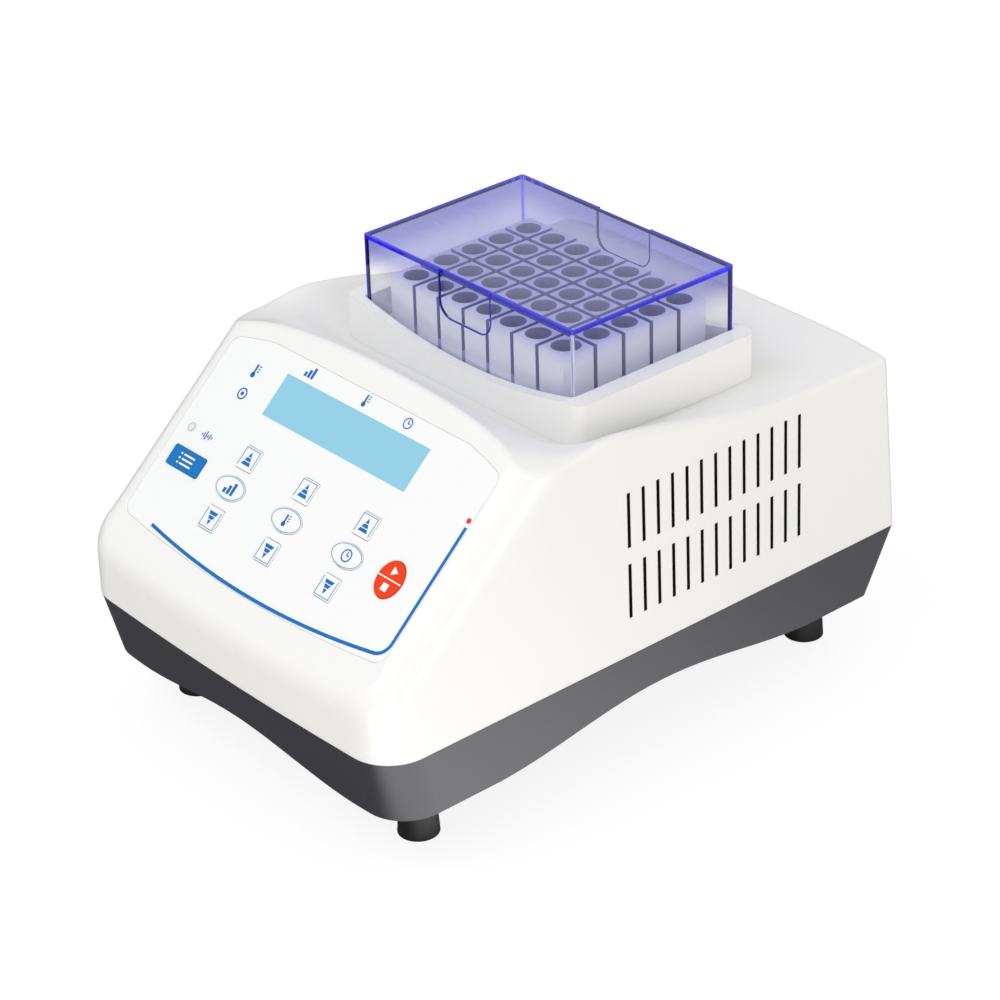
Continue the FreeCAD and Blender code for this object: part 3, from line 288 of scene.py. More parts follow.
def make_moulded_skin():
    """Colour, roughness and height of a moulded surface."""
    group = bpy.data.node_groups.new("moulded_skin", "ShaderNodeTree")
    group_socket(group, "Colour", "NodeSocketColor", "INPUT", (0.8, 0.8, 0.8, 1))
    group_socket(group, "Mottle", "NodeSocketFloat", "INPUT", 0.03)
    group_socket(group, "Roughness", "NodeSocketFloat", "INPUT", 0.3)
    group_socket(group, "Gloss Patches", "NodeSocketFloat", "INPUT", 0.06)
    group_socket(group, "Grain Size", "NodeSocketFloat", "INPUT", 0.0006)
    group_socket(group, "Colour", "NodeSocketColor", "OUTPUT")
    group_socket(group, "Roughness", "NodeSocketFloat", "OUTPUT")
    group_socket(group, "Height", "NodeSocketFloat", "OUTPUT")
    entry = group.nodes.new("NodeGroupInput").outputs
    leave = group.nodes.new("NodeGroupOutput").inputs

    shade = maths(group, "MULTIPLY_ADD", noise(group, cloud_scale, 3), entry["Mottle"], 1.0)
    centred = maths(group, "MULTIPLY_ADD", entry["Mottle"], -0.5, shade)
    tint = group.nodes.new("ShaderNodeVectorMath")
    tint.operation = "SCALE"
    group.links.new(entry["Colour"], tint.inputs[0])
    group.links.new(centred, tint.inputs["Scale"])
    group.links.new(tint.outputs["Vector"], leave["Colour"])

    patches = maths(group, "SUBTRACT", noise(group, patch_scale, 2), 0.5)
    gloss = maths(group, "MULTIPLY_ADD", patches, entry["Gloss Patches"], entry["Roughness"])
    group.links.new(gloss, leave["Roughness"])

    cells = maths(group, "DIVIDE", 1.0, entry["Grain Size"])
    group.links.new(noise(group, cells, 1), leave["Height"])
    return group


moulded_skin = make_moulded_skin()
print("node group:", moulded_skin.name)

# %% [markdown]
# The second effect is the soft edge. CAD edges are perfectly sharp, and real ones never are: they
# catch a thin line of light. The Bevel node finds how the surface would turn if its edges were
# rounded, and the group hands that normal to the finish.


# %% Node group for soft edges
def make_soft_edge():
    """The normal of a surface whose edges are rounded."""
    group = bpy.data.node_groups.new("soft_edge", "ShaderNodeTree")
    group_socket(group, "Radius", "NodeSocketFloat", "INPUT", 0.0008)
    group_socket(group, "Normal", "NodeSocketVector", "OUTPUT")
    entry = group.nodes.new("NodeGroupInput").outputs
    leave = group.nodes.new("NodeGroupOutput").inputs
    bevel = group.nodes.new("ShaderNodeBevel")
    bevel.samples = 4
    group.links.new(entry["Radius"], bevel.inputs["Radius"])
    group.links.new(bevel.outputs["Normal"], leave["Normal"])
    return group


soft_edge = make_soft_edge()
print("node group:", soft_edge.name)

# %% [markdown]
# Most finishes are a moulded skin over a colour. This maker wires the two groups to a Principled
# shader: skin for colour, gloss and grain, edges for a softened normal. Metals and rubbers use it too,
# with their own values, and only the lid and the display need more.


# %% Maker for skinned finishes
coat_roughness = 0.12
grain_height = 0.0002


def place_group(tree, group, values):
    """A copy of a node group in a material, with its own values."""
    node = tree.nodes.new("ShaderNodeGroup")
    node.node_tree = group
    for name, value in values.items():
        node.inputs[name].default_value = value
    return node


def skinned(name, colour, roughness, mottle=0.03, patches=0.06, grain=0.0006, depth=0.04, edge=0.0005,
            metallic=0.0, coat=0.0, specular=0.5):
    """A finish with moulded skin and softened edges."""
    material = bpy.data.materials.new(name)
    material.use_nodes = True
    tree = material.node_tree
    shader = tree.nodes["Principled BSDF"]
    shader.inputs["Metallic"].default_value = metallic
    shader.inputs["Specular IOR Level"].default_value = specular
    shader.inputs["Coat Weight"].default_value = coat
    shader.inputs["Coat Roughness"].default_value = coat_roughness
    skin = place_group(tree, moulded_skin, {
        "Colour": (*colour, 1), "Mottle": mottle, "Roughness": roughness, "Gloss Patches": patches,
        "Grain Size": grain})
    tree.links.new(skin.outputs["Colour"], shader.inputs["Base Color"])
    tree.links.new(skin.outputs["Roughness"], shader.inputs["Roughness"])
    edges = place_group(tree, soft_edge, {"Radius": edge})
    bump = tree.nodes.new("ShaderNodeBump")
    bump.inputs["Strength"].default_value = depth
    bump.inputs["Distance"].default_value = grain_height
    tree.links.new(skin.outputs["Height"], bump.inputs["Height"])
    tree.links.new(edges.outputs["Normal"], bump.inputs["Normal"])
    tree.links.new(bump.outputs["Normal"], shader.inputs["Normal"])
    return material


finishes = {
    "casing_white": skinned("casing_white", (0.86, 0.86, 0.855), 0.30, mottle=0.012, coat=0.25,
                            edge=0.0007),
    "tray_grey": skinned("tray_grey", (0.036, 0.037, 0.046), 0.30, mottle=0.10, depth=0.08, edge=0.0007),
    "overlay_white": skinned("overlay_white", (0.88, 0.89, 0.90), 0.36, mottle=0.008, patches=0.03,
                             edge=0.0002),
    "key_white": skinned("key_white", (0.88, 0.89, 0.90), 0.34, mottle=0.008, patches=0.03,
                         edge=0.0003),
    "key_blue": skinned("key_blue", (0.0, 0.17, 0.52), 0.42, mottle=0.02, edge=0.0003, specular=0.2),
    "key_orange": skinned("key_orange", (0.80, 0.045, 0.0), 0.42, mottle=0.02, edge=0.0003, specular=0.2),
    "module_black": skinned("module_black", (0.02, 0.02, 0.022), 0.42, mottle=0.08, depth=0.10,
                            edge=0.0003),
    "board_green": skinned("board_green", (0.02, 0.20, 0.07), 0.38, mottle=0.15, edge=0.0002),
    "block_aluminium": skinned("block_aluminium", (0.88, 0.89, 0.95), 0.34, mottle=0.05, patches=0.12,
                               grain=0.0003, depth=0.10, edge=0.0003, metallic=0.30),
    "silicone_orange": skinned("silicone_orange", (0.60, 0.12, 0.03), 0.6, mottle=0.08),
    "foam_grey": skinned("foam_grey", (0.60, 0.60, 0.62), 0.85, mottle=0.2, grain=0.0012, depth=0.5),
    "steel": skinned("steel", (0.56, 0.56, 0.58), 0.36, mottle=0.08, patches=0.2, edge=0.0003,
                     metallic=1.0),
    "nylon_white": skinned("nylon_white", (0.80, 0.80, 0.77), 0.5),
    "brass": skinned("brass", (0.72, 0.58, 0.28), 0.30, mottle=0.06, edge=0.0002, metallic=1.0),
    "foot_rubber": skinned("foot_rubber", (0.008, 0.008, 0.009), 0.5, mottle=0.3, grain=0.0009, depth=0.3,
                           edge=0.0010),
    "lamp_red": skinned("lamp_red", (0.75, 0.01, 0.015), 0.2, mottle=0.02, edge=0.0003),
    "lamp_clear": skinned("lamp_clear", (0.80, 0.82, 0.86), 0.15, mottle=0.02, edge=0.0003),
}
print("skinned finishes:", len(finishes))

# %% [markdown]
# The lid is a box of clear acrylic with a violet tint. Light that crosses a tinted sheet is multiplied
# by the sheet's colour, which is what a transmitting Principled shader does, so real glass is used
# here and not a see-through film. The tint is strong in the top plate and fades down the walls. The
# outer edges carry painted light: a deep blue colour and a deep blue glow stand in for the light that
# real edges gather from the whole sheet. The corner that faces the front right has no blue and gets a
# pale painted highlight instead. All of it is worked out from the place on the lid: the second nearest
# of a point's distances to the outer faces is its distance to an edge. Lamps and diffuse light cross
# the lid as a plain tint, so that the block below isn't left in the dark.

# %% Tinted lid
lid_low, lid_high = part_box("lid")
lid_middle = (lid_low + lid_high) / 2
lid_half = (lid_high - lid_low) / 2
lid_edge_width = 0.0020
lid_edge_blur = 0.0006
lid_clear_z = 0.168
lid_deep_z = 0.1835
lid_clear = (0.97, 0.97, 0.985)
lid_tint = (0.50, 0.50, 0.80)
# Painted light: the deep blue colour and glow of the edges, and the pale highlight on the front right corner.
lid_painted_edge_colour = (0.10, 0.08, 0.60)
lid_painted_edge_glow = (0.016, 0.012, 0.50)
lid_corner_share = 0.8
lid_painted_corner_highlight = (0.34, 0.34, 0.48)
lid_pale_width = 0.0013
lid_pale_corner_x = 0.05
lid_pale_corner_y = -0.03
lid_shadow_tint = (0.90, 0.90, 0.97)
no_glow = (0.0, 0.0, 0.0)


def make_lid_finish():
    """Tinted acrylic with a painted blue glow on its edges and a painted pale highlight on one corner."""
    material = bpy.data.materials.new("lid_violet")
    material.use_nodes = True
    tree = material.node_tree
    shader = tree.nodes["Principled BSDF"]
    shader.inputs["Roughness"].default_value = 0.02
    shader.inputs["IOR"].default_value = 1.49
    shader.inputs["Transmission Weight"].default_value = 1.0
    across, along, height = object_axes(tree)

    def depth_below(value, centre, half):
        away = maths(tree, "ABSOLUTE", maths(tree, "SUBTRACT", value, centre))
        return maths(tree, "SUBTRACT", half, away)

    side = depth_below(across, lid_middle.x, lid_half.x)
    front = depth_below(along, lid_middle.y, lid_half.y)
    top = maths(tree, "SUBTRACT", lid_high.z, height)
    near = maths(tree, "MINIMUM", side, front)
    upright = maths(tree, "MAXIMUM", side, front)
    to_right = maths(tree, "SUBTRACT", across, lid_middle.x + lid_pale_corner_x)
    to_front = maths(tree, "SUBTRACT", lid_middle.y + lid_pale_corner_y, along)
    pale_corner = maths(tree, "MINIMUM", to_right, to_front)
    far = maths(tree, "MAXIMUM", maths(tree, "MULTIPLY", upright, lid_corner_share), pale_corner)
    edge_distance = maths(tree, "MINIMUM", far, maths(tree, "MAXIMUM", near, top))

    # Painted light: deep blue colour and glow along the edges, and a pale painted highlight along the front
    # right corner.
    pale = ramp(tree, upright, lid_pale_width, lid_pale_width - lid_edge_blur)
    outline = ramp(tree, edge_distance, lid_edge_width, lid_edge_width - lid_edge_blur)
    body = colour_mix(tree, ramp(tree, height, lid_clear_z, lid_deep_z), lid_clear, lid_tint)
    tree.links.new(colour_mix(tree, outline, body, lid_painted_edge_colour), shader.inputs["Base Color"])
    painted_corner_highlight = colour_mix(tree, pale, no_glow, lid_painted_corner_highlight)
    painted_edge_glow = colour_mix(tree, outline, painted_corner_highlight, lid_painted_edge_glow)
    tree.links.new(painted_edge_glow, shader.inputs["Emission Color"])
    shader.inputs["Emission Strength"].default_value = 1.0

    path = tree.nodes.new("ShaderNodeLightPath").outputs
    for_lamps = tree.nodes.new("ShaderNodeBsdfTransparent")
    for_lamps.inputs["Color"].default_value = (*lid_shadow_tint, 1)
    lights = maths(tree, "MAXIMUM", path["Is Shadow Ray"], path["Is Diffuse Ray"])
    lit = shader_mix(tree, lights, shader.outputs[0], for_lamps.outputs[0])
    tree.links.new(lit, tree.nodes["Material Output"].inputs["Surface"])
    return material


finishes["lid_violet"] = make_lid_finish()
print("lid from", tuple(round(v, 4) for v in lid_low), "to", tuple(round(v, 4) for v in lid_high))

# %% [markdown]
# Two finishes carry painted shade inside the openings. The block's wells and the saw cuts between
# them are painted darker and bluer than its satin faces, as the shade that falls in these recesses,
# and the casing behind the cooling slots is painted black as the shadow there. Both masks come from
# the place on the piece: the wells repeat at an even pitch, so the place is wrapped to one pitch
# first, and in the casing's wall only the outer skin faces outwards.

# %% Painted shade in wells, saw cuts and vents
well_pitch = 0.0155
well_r = 0.0055
saw_cut_half = 0.0010
mask_margin = 0.00004
block_low, block_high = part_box("sample_block")
block_middle = (block_low + block_high) / 2
# Painted shade: darker, bluer colours for the wells and saw cuts, where shade falls inside the block.
painted_well_shade = (0.40, 0.42, 0.60)
painted_saw_cut_shade = (0.24, 0.27, 0.58)
# Painted shade: black for the shadow inside the casing behind the cooling slots.
painted_vent_shade = (0.012, 0.012, 0.014)
vent_low_x = 0.080
vent_span_y = (-0.020, 0.092)
vent_span_z = (0.070, 0.133)
outer_skin_facing = 0.7


def skin_colour(material):
    """The colour socket of the skin group in a finish, and the plain colour that it holds."""
    nodes = material.node_tree.nodes
    skin = next(n for n in nodes if n.type == "GROUP" and n.node_tree == moulded_skin)
    return skin.inputs["Colour"], tuple(skin.inputs["Colour"].default_value)[:3]


def paint_block_shade(material):
    """Paint shade into the wells and the saw cuts."""
    tree = material.node_tree
    socket, plain = skin_colour(material)
    across, along, _ = object_axes(tree)
    offsets, cuts = [], []
    for value, centre, half in ((across, block_middle.x, block_high.x - block_middle.x),
                                (along, block_middle.y, block_high.y - block_middle.y)):
        placed = maths(tree, "SUBTRACT", value, centre)
        offset = maths(tree, "WRAP", placed, well_pitch / 2, -well_pitch / 2)
        offsets.append(offset)
        in_cut = maths(tree, "GREATER_THAN", maths(tree, "ABSOLUTE", offset),
                       well_pitch / 2 - saw_cut_half - mask_margin)
        inside = maths(tree, "LESS_THAN", maths(tree, "ABSOLUTE", placed), half - saw_cut_half)
        cuts.append(maths(tree, "MULTIPLY", in_cut, inside))
    squares = [maths(tree, "MULTIPLY", offset, offset) for offset in offsets]
    radius = maths(tree, "SQRT", maths(tree, "ADD", *squares))
    in_well = maths(tree, "LESS_THAN", radius, well_r + mask_margin)
    body = colour_mix(tree, maths(tree, "MAXIMUM", *cuts), plain, painted_saw_cut_shade)
    tree.links.new(colour_mix(tree, in_well, body, painted_well_shade), socket)


def paint_vent_shade(material):
    """Paint black shade on what shows through the cooling slots: all but the outer skin there."""
    tree = material.node_tree
    socket, plain = skin_colour(material)
    across, along, height = object_axes(tree)
    mask = maths(tree, "GREATER_THAN", maths(tree, "ABSOLUTE", across), vent_low_x)
    for value, (low, high) in ((along, vent_span_y), (height, vent_span_z)):
        mask = maths(tree, "MULTIPLY", mask, maths(tree, "GREATER_THAN", value, low))
        mask = maths(tree, "MULTIPLY", mask, maths(tree, "LESS_THAN", value, high))
    surface = tree.nodes.new("ShaderNodeNewGeometry")
    facing = tree.nodes.new("ShaderNodeSeparateXYZ")
    tree.links.new(surface.outputs["True Normal"], facing.inputs[0])
    outwards = maths(tree, "MULTIPLY", facing.outputs["X"], maths(tree, "SIGN", across))
    behind = maths(tree, "MULTIPLY", mask, maths(tree, "LESS_THAN", outwards, outer_skin_facing))
    tree.links.new(colour_mix(tree, behind, plain, painted_vent_shade), socket)


paint_block_shade(finishes["block_aluminium"])
paint_vent_shade(finishes["casing_white"])
print("block from", tuple(round(v, 4) for v in block_low), "to", tuple(round(v, 4) for v in block_high))

# %% [markdown]
# The display is a pale blue window over a liquid crystal panel that is switched off. Under the gloss
# a very faint square grid of dots shows, at the half-millimetre pitch of such panels.


# %% Display window
display_blue = {"Color1": (0.262, 0.590, 0.755, 1), "Color2": (0.270, 0.597, 0.760, 1),
                "Mortar": (0.245, 0.570, 0.740, 1)}
dot_pitch = 0.0006
dot_gap = 0.00008


def make_display_finish():
    """A gloss window over a faint grid of dots."""
    material = bpy.data.materials.new("display_blue")
    material.use_nodes = True
    tree = material.node_tree
    shader = tree.nodes["Principled BSDF"]
    shader.inputs["Roughness"].default_value = 0.30
    dots = tree.nodes.new("ShaderNodeTexBrick")
    dots.offset = 0.0
    sizes = {"Scale": 1.0, "Brick Width": dot_pitch, "Row Height": dot_pitch, "Mortar Size": dot_gap}
    for name, value in {**display_blue, **sizes}.items():
        dots.inputs[name].default_value = value
    coord = tree.nodes.new("ShaderNodeTexCoord")
    tree.links.new(coord.outputs["Object"], dots.inputs["Vector"])
    tree.links.new(dots.outputs["Color"], shader.inputs["Base Color"])
    return material


finishes["display_blue"] = make_display_finish()

# %% [markdown]
# The fuse in its drawer is a small glass tube, which needs no more than clear glass with a soft gloss.


# %% Clear fuse glass
def make_clear_glass():
    """Plain clear glass."""
    material = bpy.data.materials.new("glass_clear")
    material.use_nodes = True
    shader = material.node_tree.nodes["Principled BSDF"]
    shader.inputs["Base Color"].default_value = (0.9, 0.95, 0.95, 1)
    shader.inputs["Roughness"].default_value = 0.05
    shader.inputs["Transmission Weight"].default_value = 1.0
    return material


finishes["glass_clear"] = make_clear_glass()

# %% [markdown]
# The record of the part says which finish each node has, so dressing the CAD nodes is one loop.

# %% Dress the CAD nodes
for row in frame["record"]["subparts"]:
    node = frame["nodes"][row["node"]]
    node.data.materials.clear()
    node.data.materials.append(finishes[row["material_slot"]])

# %% [markdown]
# The two finger grips in the lid's long walls are shallow, and what the eye finds first is the deep
# blue line round each. That line is painted light: a deep blue stand-in for the glow that the cut
# edge of each pocket gathers from the tinted sheet. The line is a narrow ribbon that is pulled down,
# spun round two corners and pulled up again, given a little thickness, and it lifts off with the lid.

# %% Grip outlines
grip_half_width = 0.0162
grip_height = 0.0205
grip_corner_r = 0.0070
grip_line = 0.0007
grip_line_lift = 0.00004
grip_line_depth = 0.00018
grip_corner_steps = 10
same_length = 1e-6
weld = 1e-7

# Painted light: the deep blue of this line stands for the glow along the cut edge of each grip pocket.
grip_painted_glow = skinned("grip_painted_glow", (0.012, 0.010, 0.42), 0.2, mottle=0.02, edge=0.0001)


def make_grip_outline(name, face_y, outward):
    """A U of painted deep blue glow on one long wall of the lid."""
    bm = bmesh.new()
    outer = grip_half_width + grip_line / 2
    start = [bm.verts.new((-outer + step, 0, lid_high.z)) for step in (0, grip_line)]
    last = [bm.edges.new(start)]
    low_z = lid_high.z - grip_height
    turn_z = low_z + grip_corner_r

    def pull(edges, offset):
        made = bmesh.ops.extrude_edge_only(bm, edges=edges)["geom"]
        bmesh.ops.translate(bm, verts=[v for v in made if isinstance(v, bmesh.types.BMVert)], vec=offset)
        made_edges = [e for e in made if isinstance(e, bmesh.types.BMEdge)]
        return [e for e in made_edges if abs(e.calc_length() - grip_line) < same_length]

    def sweep(edges, centre):
        corners = [v for e in edges for v in e.verts]
        made = bmesh.ops.spin(bm, geom=corners + edges, cent=centre, axis=(0, 1, 0), angle=-math.pi / 2,
                              steps=grip_corner_steps)
        return [g for g in made["geom_last"] if isinstance(g, bmesh.types.BMEdge)]

    last = pull(last, (0, 0, turn_z - lid_high.z))
    last = sweep(last, (-grip_half_width + grip_corner_r, 0, turn_z))
    last = pull(last, (2 * (grip_half_width - grip_corner_r), 0, 0))
    last = sweep(last, (grip_half_width - grip_corner_r, 0, turn_z))
    pull(last, (0, 0, lid_high.z - turn_z))
    bmesh.ops.remove_doubles(bm, verts=bm.verts, dist=weld)
    skin = bmesh.ops.extrude_face_region(bm, geom=bm.faces[:])["geom"]
    raised = [v for v in skin if isinstance(v, bmesh.types.BMVert)]
    bmesh.ops.translate(bm, verts=raised, vec=(0, outward * grip_line_depth, 0))
    bmesh.ops.translate(bm, verts=bm.verts, vec=(lid_middle.x, face_y + outward * grip_line_lift, 0))
    bmesh.ops.recalc_face_normals(bm, faces=bm.faces)
    mesh = bpy.data.meshes.new(name)
    bm.to_mesh(mesh)
    bm.free()
    mesh.materials.append(grip_painted_glow)
    piece = bpy.data.objects.new(name, mesh)
    bpy.context.scene.collection.objects.link(piece)
    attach(piece, "lid")
    return piece


grip_walls = (("lid_grip_painted_glow_front", lid_low.y, -1), ("lid_grip_painted_glow_rear", lid_high.y, 1))
for name, face_y, outward in grip_walls:
    piece = make_grip_outline(name, face_y, outward)
    print(name, len(piece.data.polygons), "faces")

# %% [markdown]
# Everything printed on the panel is a thin layer of ink on sloping film, so the marks are drawn flat,
# in the panel's own axes, and then laid on the slope: x runs across, u runs up the slope and n stands
# out of it. One matrix does the laying.

# %% Panel axes
panel_tilt = math.radians(42.87)
panel_foot = Vector((0, -0.1322, 0.0900))
to_panel = Matrix.Translation(panel_foot) @ Matrix.Rotation(panel_tilt, 4, "X") @ Matrix.Scale(MM, 4)
ink_lift = 0.02
ink_thickness = 0.10
ink_weld = 1e-5
key_top = 0.5

ink_blue = skinned("ink_blue", (0.0, 0.15, 0.50), 0.4, mottle=0.02, edge=0.0001, specular=0.2)
ink_pale = skinned("ink_pale", (0.16, 0.36, 0.60), 0.4, mottle=0.02, edge=0.0001)
ink_grey = skinned("ink_grey", (0.50, 0.51, 0.53), 0.4, mottle=0.02, edge=0.0001)
ink_white = skinned("ink_white", (0.90, 0.90, 0.90), 0.4, mottle=0.01, edge=0.0001)


def finish_print(name, bm, body, material, top=0.0):
    """Give a flat drawing its ink thickness, lay it on the panel and let it ride on a body."""
    bmesh.ops.remove_doubles(bm, verts=bm.verts, dist=ink_weld)
    skin = bmesh.ops.extrude_face_region(bm, geom=bm.faces[:])
    raised = [v for v in skin["geom"] if isinstance(v, bmesh.types.BMVert)]
    bmesh.ops.translate(bm, verts=raised, vec=(0, 0, ink_thickness))
    bmesh.ops.translate(bm, verts=bm.verts, vec=(0, 0, top + ink_lift))
    bmesh.ops.recalc_face_normals(bm, faces=bm.faces)
    bmesh.ops.transform(bm, matrix=to_panel, verts=bm.verts)
    mesh = bpy.data.meshes.new(name)
    bm.to_mesh(mesh)
    bm.free()
    mesh.materials.append(material)
    piece = bpy.data.objects.new(name, mesh)
    bpy.context.scene.collection.objects.link(piece)
    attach(piece, body)


# %% [markdown]
# The marks are made of a few flat shapes: bars, discs, rings and slices of a triangle. Each helper
# adds its shape to an open bmesh, so that one mark can hold several.


# %% Flat shapes
def placed(x, u, width, height):
    """The matrix that puts a shape of size one at a place, with a width and a height."""
    return Matrix.Translation((x, u, 0)) @ Matrix.Diagonal((width, height, 1, 1))


def add_bar(bm, x, u, width, height):
    """A rectangle of ink."""
    bmesh.ops.create_grid(bm, x_segments=1, y_segments=1, size=0.5, matrix=placed(x, u, width, height))


def add_disc(bm, x, u, radius, segments=20):
    """A round spot of ink."""
    bmesh.ops.create_circle(bm, cap_ends=True, segments=segments, radius=1,
                            matrix=placed(x, u, radius, radius))


def add_ring(bm, x, u, radius_x, radius_u, line, segments=56):
    """An oval outline: two loops, one inside the other, bridged."""
    before = len(bm.edges)
    for shrink in (0, line):
        bmesh.ops.create_circle(bm, segments=segments, radius=1,
                                matrix=placed(x, u, radius_x - shrink, radius_u - shrink))
    bm.edges.ensure_lookup_table()
    bmesh.ops.bridge_loops(bm, edges=bm.edges[before:])


def add_slice(bm, x, low, high, low_width, high_width):
    """A band of a triangle: a four-sided patch, or three-sided where it ends in the tip."""
    corners = [(x - low_width / 2, low), (x + low_width / 2, low), (x + high_width / 2, high)]
    if high_width > 0:
        corners.append((x - high_width / 2, high))
    bm.faces.new([bm.verts.new((px, pu, 0)) for px, pu in corners])


# %% [markdown]
# A blue line frames the panel below and on the right. It is one ribbon: an edge as wide as the line
# is spun along a wide arc, then round a tight corner, and then pulled straight up the slope.

# %% Blue frame line
line_width = 1.5
line_arc_r = 450.0
line_corner_r = 7.0
line_side_x = 84.2
line_left_x = -65.6
line_top_u = 66.6
line_arc_steps = 48
line_corner_steps = 14

arc_centre = Vector((0, line_arc_r, 0))


def below(angle, radius):
    """The place at an angle along an arc round arc_centre, counted from its lowest point."""
    return arc_centre + radius * Vector((math.sin(angle), -math.cos(angle), 0))


left_angle = math.asin(line_left_x / line_arc_r)
corner_angle = math.asin((line_side_x - line_corner_r) / (line_arc_r - line_corner_r))
corner_centre = below(corner_angle, line_arc_r - line_corner_r)

bm = bmesh.new()
ends = [below(left_angle, line_arc_r + side * line_width / 2) for side in (-1, 1)]
edge = bm.edges.new([bm.verts.new(p) for p in ends])
arc = bmesh.ops.spin(bm, geom=[edge.verts[0], edge.verts[1], edge], cent=arc_centre, axis=(0, 0, 1),
                     angle=corner_angle - left_angle, steps=line_arc_steps)
corner = bmesh.ops.spin(bm, geom=arc["geom_last"], cent=corner_centre, axis=(0, 0, 1),
                        angle=math.pi / 2 - corner_angle, steps=line_corner_steps)
last = [g for g in corner["geom_last"] if isinstance(g, bmesh.types.BMEdge)]
rise = bmesh.ops.extrude_edge_only(bm, edges=last)
risen = [v for v in rise["geom"] if isinstance(v, bmesh.types.BMVert)]
bmesh.ops.translate(bm, verts=risen, vec=(0, line_top_u - risen[0].co.y, 0))
finish_print("panel_frame_line", bm, "casing", ink_blue)

# %% [markdown]
# The up and down keys carry a triangle cut into three bands by thin gaps, inside a fine outline that
# is open on the side where the triangle points from.

# %% Arrow keys
column_x = {"segment": -37.5, "temperature": 0.0, "time": 38.9}
up_u = 48.3
down_u = 19.4
mark_half = 4.3
outline_line = 0.38
outline_open = 0.4
bands = ((-3.0, -1.5), (-1.05, 0.45), (0.9, 3.1))
triangle_height = 6.2
triangle_width = 5.4

for word, x in column_x.items():
    for direction, u in ((1, up_u), (-1, down_u)):
        key = f"{word}_{'up' if direction > 0 else 'down'}_key"
        bm = bmesh.new()
        for low, high in bands:
            widths = [triangle_width * (bands[-1][1] - level) / triangle_height for level in (low, high)]
            add_slice(bm, x, u + direction * low, u + direction * high, *widths)
        finish_print(f"{key}_arrow", bm, key, ink_blue, top=key_top)
        bm = bmesh.new()
        add_bar(bm, x, u + direction * mark_half, 2 * mark_half + outline_line, outline_line)
        for side in (-1, 1):
            add_bar(bm, x + side * mark_half, u + direction * outline_open / 2, outline_line,
                    2 * mark_half - outline_open)
        finish_print(f"{key}_outline", bm, key, ink_pale, top=key_top)

# %% [markdown]
# Each oval key has a grey-blue outline and a small pictogram that says what its column sets: steps
# for the segment, a thermometer for the temperature and a clock for the time.

# %% Oval keys
oval_u = 34.1
oval_half_x = 9.0
oval_half_u = 5.2
oval_inset = 0.3
oval_line = 0.32
pictogram_size = 5.6


def draw_steps(bm, x, u, size):
    """Three columns that climb."""
    for i in range(3):
        height = size * (0.4 + 0.3 * i)
        add_bar(bm, x + (i - 1) * size * 0.42, u - size / 2 + height / 2, size * 0.28, height)


def draw_thermometer(bm, x, u, size):
    """A bulb, a stem and three short marks beside it."""
    add_disc(bm, x - size * 0.1, u - size * 0.30, size * 0.20)
    add_bar(bm, x - size * 0.1, u + size * 0.12, size * 0.16, size * 0.72)
    for i in range(3):
        add_bar(bm, x + size * 0.20, u + size * (0.40 - 0.20 * i), size * 0.18, size * 0.08)


def draw_clock(bm, x, u, size):
    """A ring with two hands."""
    add_ring(bm, x, u, size * 0.5, size * 0.5, size * 0.10, segments=32)
    add_bar(bm, x, u + size * 0.15, size * 0.09, size * 0.30)
    add_bar(bm, x + size * 0.11, u, size * 0.26, size * 0.09)


def draw_target(bm, x, u, size):
    """A ring with a spot in the middle."""
    add_ring(bm, x, u, size * 0.5, size * 0.5, size * 0.12, segments=32)
    add_disc(bm, x, u, size * 0.17)


def draw_pulse(bm, x, u, size):
    """A row of short bars of changing height."""
    for i, height in enumerate((0.25, 0.5, 1.0, 0.35, 0.7, 0.25)):
        add_bar(bm, x + (i - 2.5) * size * 0.30, u, size * 0.14, size * height)


pictograms = {"segment": draw_steps, "temperature": draw_thermometer, "time": draw_clock}
for word, x in column_x.items():
    key = f"{word}_select_key"
    bm = bmesh.new()
    add_ring(bm, x, oval_u, oval_half_x - oval_inset, oval_half_u - oval_inset, oval_line)
    finish_print(f"{key}_outline", bm, key, ink_pale, top=key_top)
    bm = bmesh.new()
    pictograms[word](bm, x, oval_u, pictogram_size)
    finish_print(f"{key}_pictogram", bm, key, ink_blue, top=key_top)

# %% [markdown]
# The blue programme key shows a short list, and the orange key a start triangle over a stop square,
# with a white line between them.

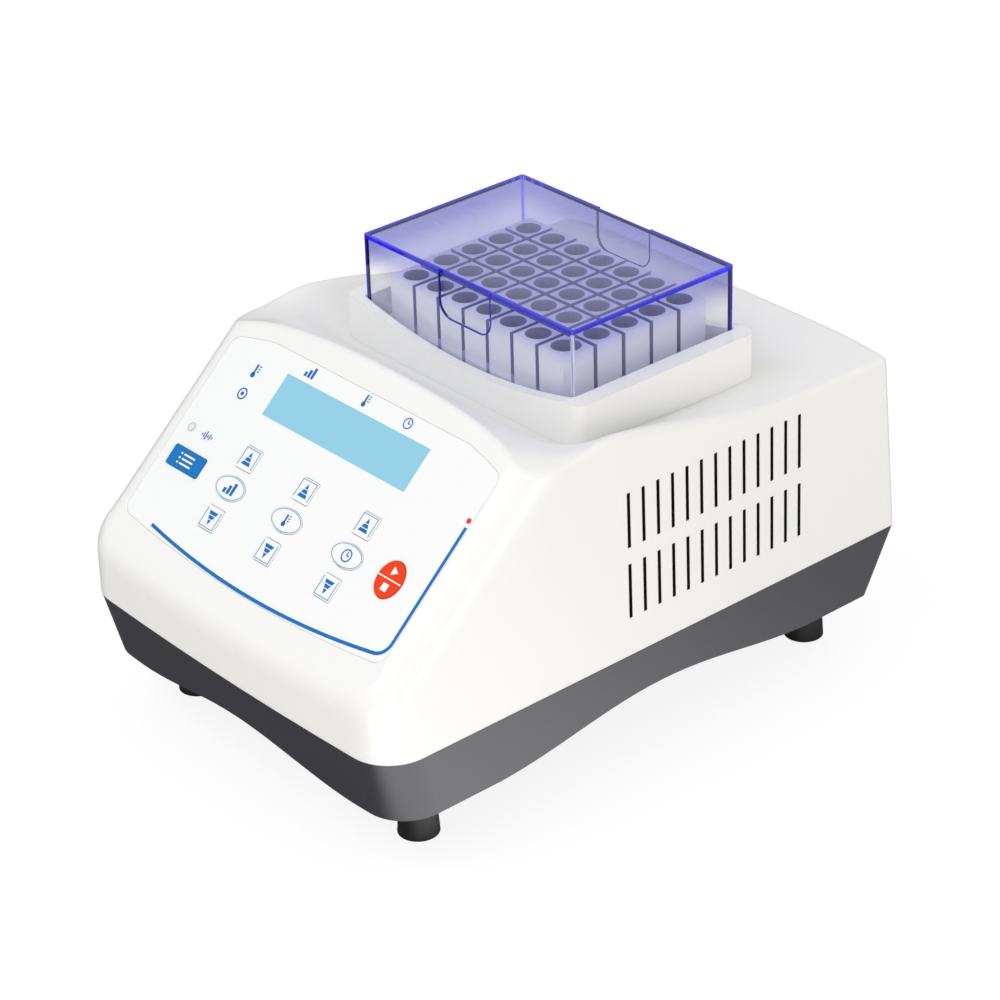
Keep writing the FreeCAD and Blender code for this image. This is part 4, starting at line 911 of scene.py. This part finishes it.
# %% Programme and start keys
program_x, program_u = -68.7, 34.7
list_pitch = 2.1
list_dot = 0.9
list_dot_x = -4.2
list_bar = (7.2, 0.8)
list_bar_x = 0.9

bm = bmesh.new()
for i in range(3):
    u = program_u + (1 - i) * list_pitch
    add_bar(bm, program_x + list_dot_x, u, list_dot, list_dot)
    add_bar(bm, program_x + list_bar_x, u, *list_bar)
finish_print("program_key_list", bm, "program_key", ink_white, top=key_top)

start_x, start_u = 65.2, 34.5
divider = (13.3, 0.55)
sign_away = 3.6
start_sign_r = 2.3
start_sign_x = 0.2
stop_sign = 3.3

bm = bmesh.new()
add_bar(bm, start_x, start_u, *divider)
finish_print("start_stop_key_divider", bm, "start_stop_key", ink_white, top=key_top)
bm = bmesh.new()
tip = Matrix.Translation((start_x + start_sign_x, start_u + sign_away, 0))
to_right = Matrix.Rotation(-math.pi / 2, 4, "Z")
bmesh.ops.create_circle(bm, cap_ends=True, segments=3, radius=start_sign_r, matrix=tip @ to_right)
add_bar(bm, start_x, start_u - sign_away, stop_sign, stop_sign)
finish_print("start_stop_key_pictograms", bm, "start_stop_key", ink_white, top=key_top)

# %% [markdown]
# Small blue pictograms stand beside and above the display: a thermometer and a target for the actual
# and the set values, one over each column of figures, and a fine grey ring round the working lamp.

# %% Marks on the film
working_lamp = (-77.4, 48.3)
lamp_ring_r = 2.1
lamp_ring_line = 0.30

marks = (
    ("mark_actual_value", draw_thermometer, -62.8, 81.7, 6.4),
    ("mark_set_value", draw_target, -62.5, 70.8, 5.4),
    ("mark_segment_column", draw_steps, -34.8, 92.0, 5.0),
    ("mark_temperature_column", draw_thermometer, 1.2, 92.2, 5.6),
    ("mark_time_column", draw_clock, 27.8, 92.0, 5.0),
    ("mark_working", draw_pulse, -66.5, 48.1, 4.0),
)
for name, draw, x, u, size in marks:
    bm = bmesh.new()
    draw(bm, x, u, size)
    finish_print(name, bm, "casing", ink_blue)

bm = bmesh.new()
add_ring(bm, *working_lamp, lamp_ring_r, lamp_ring_r, lamp_ring_line)
finish_print("working_lamp_ring", bm, "casing", ink_grey)
